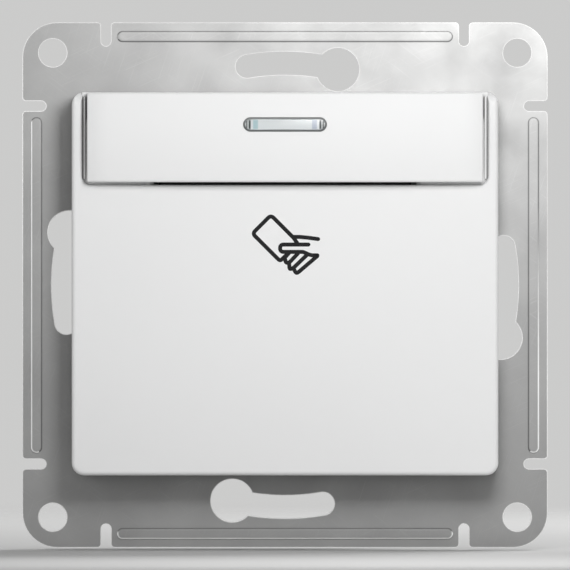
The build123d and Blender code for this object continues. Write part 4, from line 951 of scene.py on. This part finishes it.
def makeFloor():
    under = cadBox[0].z - stageLook["floorGap"] * mm
    edge = stageLook["floorRadius"] * mm
    bm = bmesh.new()
    bmesh.ops.create_circle(bm, cap_ends=True, segments=stageLook["floorSides"], radius=edge)
    bmesh.ops.translate(bm, verts=bm.verts, vec=(0, 0, under))
    mat, tree, shader = newMaterial("floorPaper")
    place = addNode(tree, "ShaderNodeTexCoord", -1100, 0)
    flat = addNode(tree, "ShaderNodeVectorMath", -900, 0, operation="MULTIPLY")
    flat.inputs[1].default_value = (1, 1, 0)
    reach = addNode(tree, "ShaderNodeVectorMath", -700, 0, operation="LENGTH")
    fade = addNode(tree, "ShaderNodeMapRange", -500, 0, interpolation_type="SMOOTHSTEP")
    setInputs(fade, {"From Min": stageLook["floorFade"] * mm, "From Max": edge * stageLook["clearShare"]})
    clear = addNode(tree, "ShaderNodeBsdfTransparent", 0, -200)
    mix = addNode(tree, "ShaderNodeMixShader", 300, 0)
    # painted shade on the paper in front, where the key panel falls on it, and painted light behind the
    # object
    axes = addNode(tree, "ShaderNodeSeparateXYZ", -900, 500)
    depth = addNode(tree, "ShaderNodeMapRange", -700, 500, interpolation_type="SMOOTHSTEP")
    setInputs(depth, {"From Min": stageLook["frontEdge"] * mm, "From Max": stageLook["rearEdge"] * mm})
    clouds = placeGroup(tree, softClouds, -700, 300, {"Size": stageLook["cloudSize"], "Detail": 2.0})
    tone = blendTwo(tree, -400, 500, depth.outputs["Result"],
                    stageLook["frontPaintedShade"], stageLook["rearPaintedLight"])
    fac, low, high, out = mixColour(tree, -150, 400, mode="MULTIPLY")
    fac.default_value = stageLook["cloudShare"]
    link(tree, place.outputs["Object"], axes.inputs[0])
    link(tree, axes.outputs["Y"], depth.inputs["Value"])
    link(tree, tone, low)
    link(tree, clouds.outputs["Value"], high)
    link(tree, out, shader.inputs["Base Color"])
    setInputs(shader, {"Roughness": stageLook["floorRough"]})
    link(tree, place.outputs["Object"], flat.inputs[0])
    link(tree, flat.outputs["Vector"], reach.inputs[0])
    link(tree, reach.outputs["Value"], fade.inputs["Value"])
    link(tree, fade.outputs["Result"], mix.inputs["Fac"])
    link(tree, shader.outputs["BSDF"], mix.inputs[1])
    link(tree, clear.outputs["BSDF"], mix.inputs[2])
    link(tree, mix.outputs["Shader"], tree.nodes["Material Output"].inputs["Surface"])
    floor = meshObject("studioFloor", bm, mat)


def makeWorld():
    world = bpy.data.worlds.new("studio")
    world.use_nodes = True
    bpy.context.scene.world = world
    tree = world.node_tree
    backdrop = tree.nodes["Background"]
    backdrop.inputs["Color"].default_value = stageLook["backdrop"]
    soft = addNode(tree, "ShaderNodeBackground", 0, -200)
    soft.inputs["Color"].default_value = stageLook["ambient"]
    rays = addNode(tree, "ShaderNodeLightPath", -600, 300)
    seen = addNode(tree, "ShaderNodeMath", -300, 300, operation="MAXIMUM")
    shown = addNode(tree, "ShaderNodeMath", -100, 300, operation="MAXIMUM")
    mix = addNode(tree, "ShaderNodeMixShader", 250, 0)
    link(tree, rays.outputs["Is Camera Ray"], seen.inputs[0])
    link(tree, rays.outputs["Is Glossy Ray"], seen.inputs[1])
    link(tree, seen.outputs[0], shown.inputs[0])
    link(tree, rays.outputs["Is Transmission Ray"], shown.inputs[1])
    link(tree, shown.outputs[0], mix.inputs["Fac"])
    link(tree, soft.outputs["Background"], mix.inputs[1])
    link(tree, backdrop.outputs["Background"], mix.inputs[2])
    link(tree, mix.outputs["Shader"], tree.nodes["World Output"].inputs["Surface"])


lamps = {
    # place and aim in mm, side of the square panel in mm, power in watts
    "keyPanel": {"place": (28, -165, 63), "aim": (0, 0, 5), "side": 56, "power": 0.160},
    "fillPanel": {"place": (-380, -560, 90), "aim": (0, 0, 0), "side": 400, "power": 0.3},
    "backPanel": {"place": (260, 420, 380), "aim": (0, 10, 0), "side": 300, "power": 3.4},
}


def makeLamp(name, look):
    light = bpy.data.lights.new(name, "AREA")
    light.energy = look["power"]
    light.size = look["side"] * mm
    lamp = bpy.data.objects.new(name, light)
    bpy.context.scene.collection.objects.link(lamp)
    place, aim = Vector(look["place"]) * mm, Vector(look["aim"]) * mm
    lamp.location = place
    lamp.rotation_euler = (aim - place).to_track_quat("-Z", "Y").to_euler()
    lamp.visible_camera = False


view = {
    "lens": 1200.0, "sensor": 36.0,
    "pictureWidth": 570, "pixelsPerMm": 7.408,   # the plate's scale in the photograph
    "scaleDepth": -5.5,                          # depth at which that scale holds
    "near": 100.0, "far": 20000.0,               # nothing nearer or farther is drawn
}


def makeCamera():
    data = bpy.data.cameras.new("camera")
    data.lens, data.sensor_width = view["lens"], view["sensor"]
    camera = bpy.data.objects.new("camera", data)
    bpy.context.scene.collection.objects.link(camera)
    width = view["pictureWidth"] / view["pixelsPerMm"]   # what the picture's width spans at the plate
    away = width * view["lens"] / view["sensor"]
    camera.location = (0, (view["scaleDepth"] - away) * mm, 0)
    camera.rotation_euler = (math.radians(90), 0, 0)
    data.clip_start, data.clip_end = view["near"] * mm, view["far"] * mm
    bpy.context.scene.camera = camera


makeFloor()
makeWorld()
for name, look in lamps.items():
    makeLamp(name, look)
makeCamera()
bpy.context.scene.view_settings.view_transform = "Standard"
print("stage: floor, light and camera set")
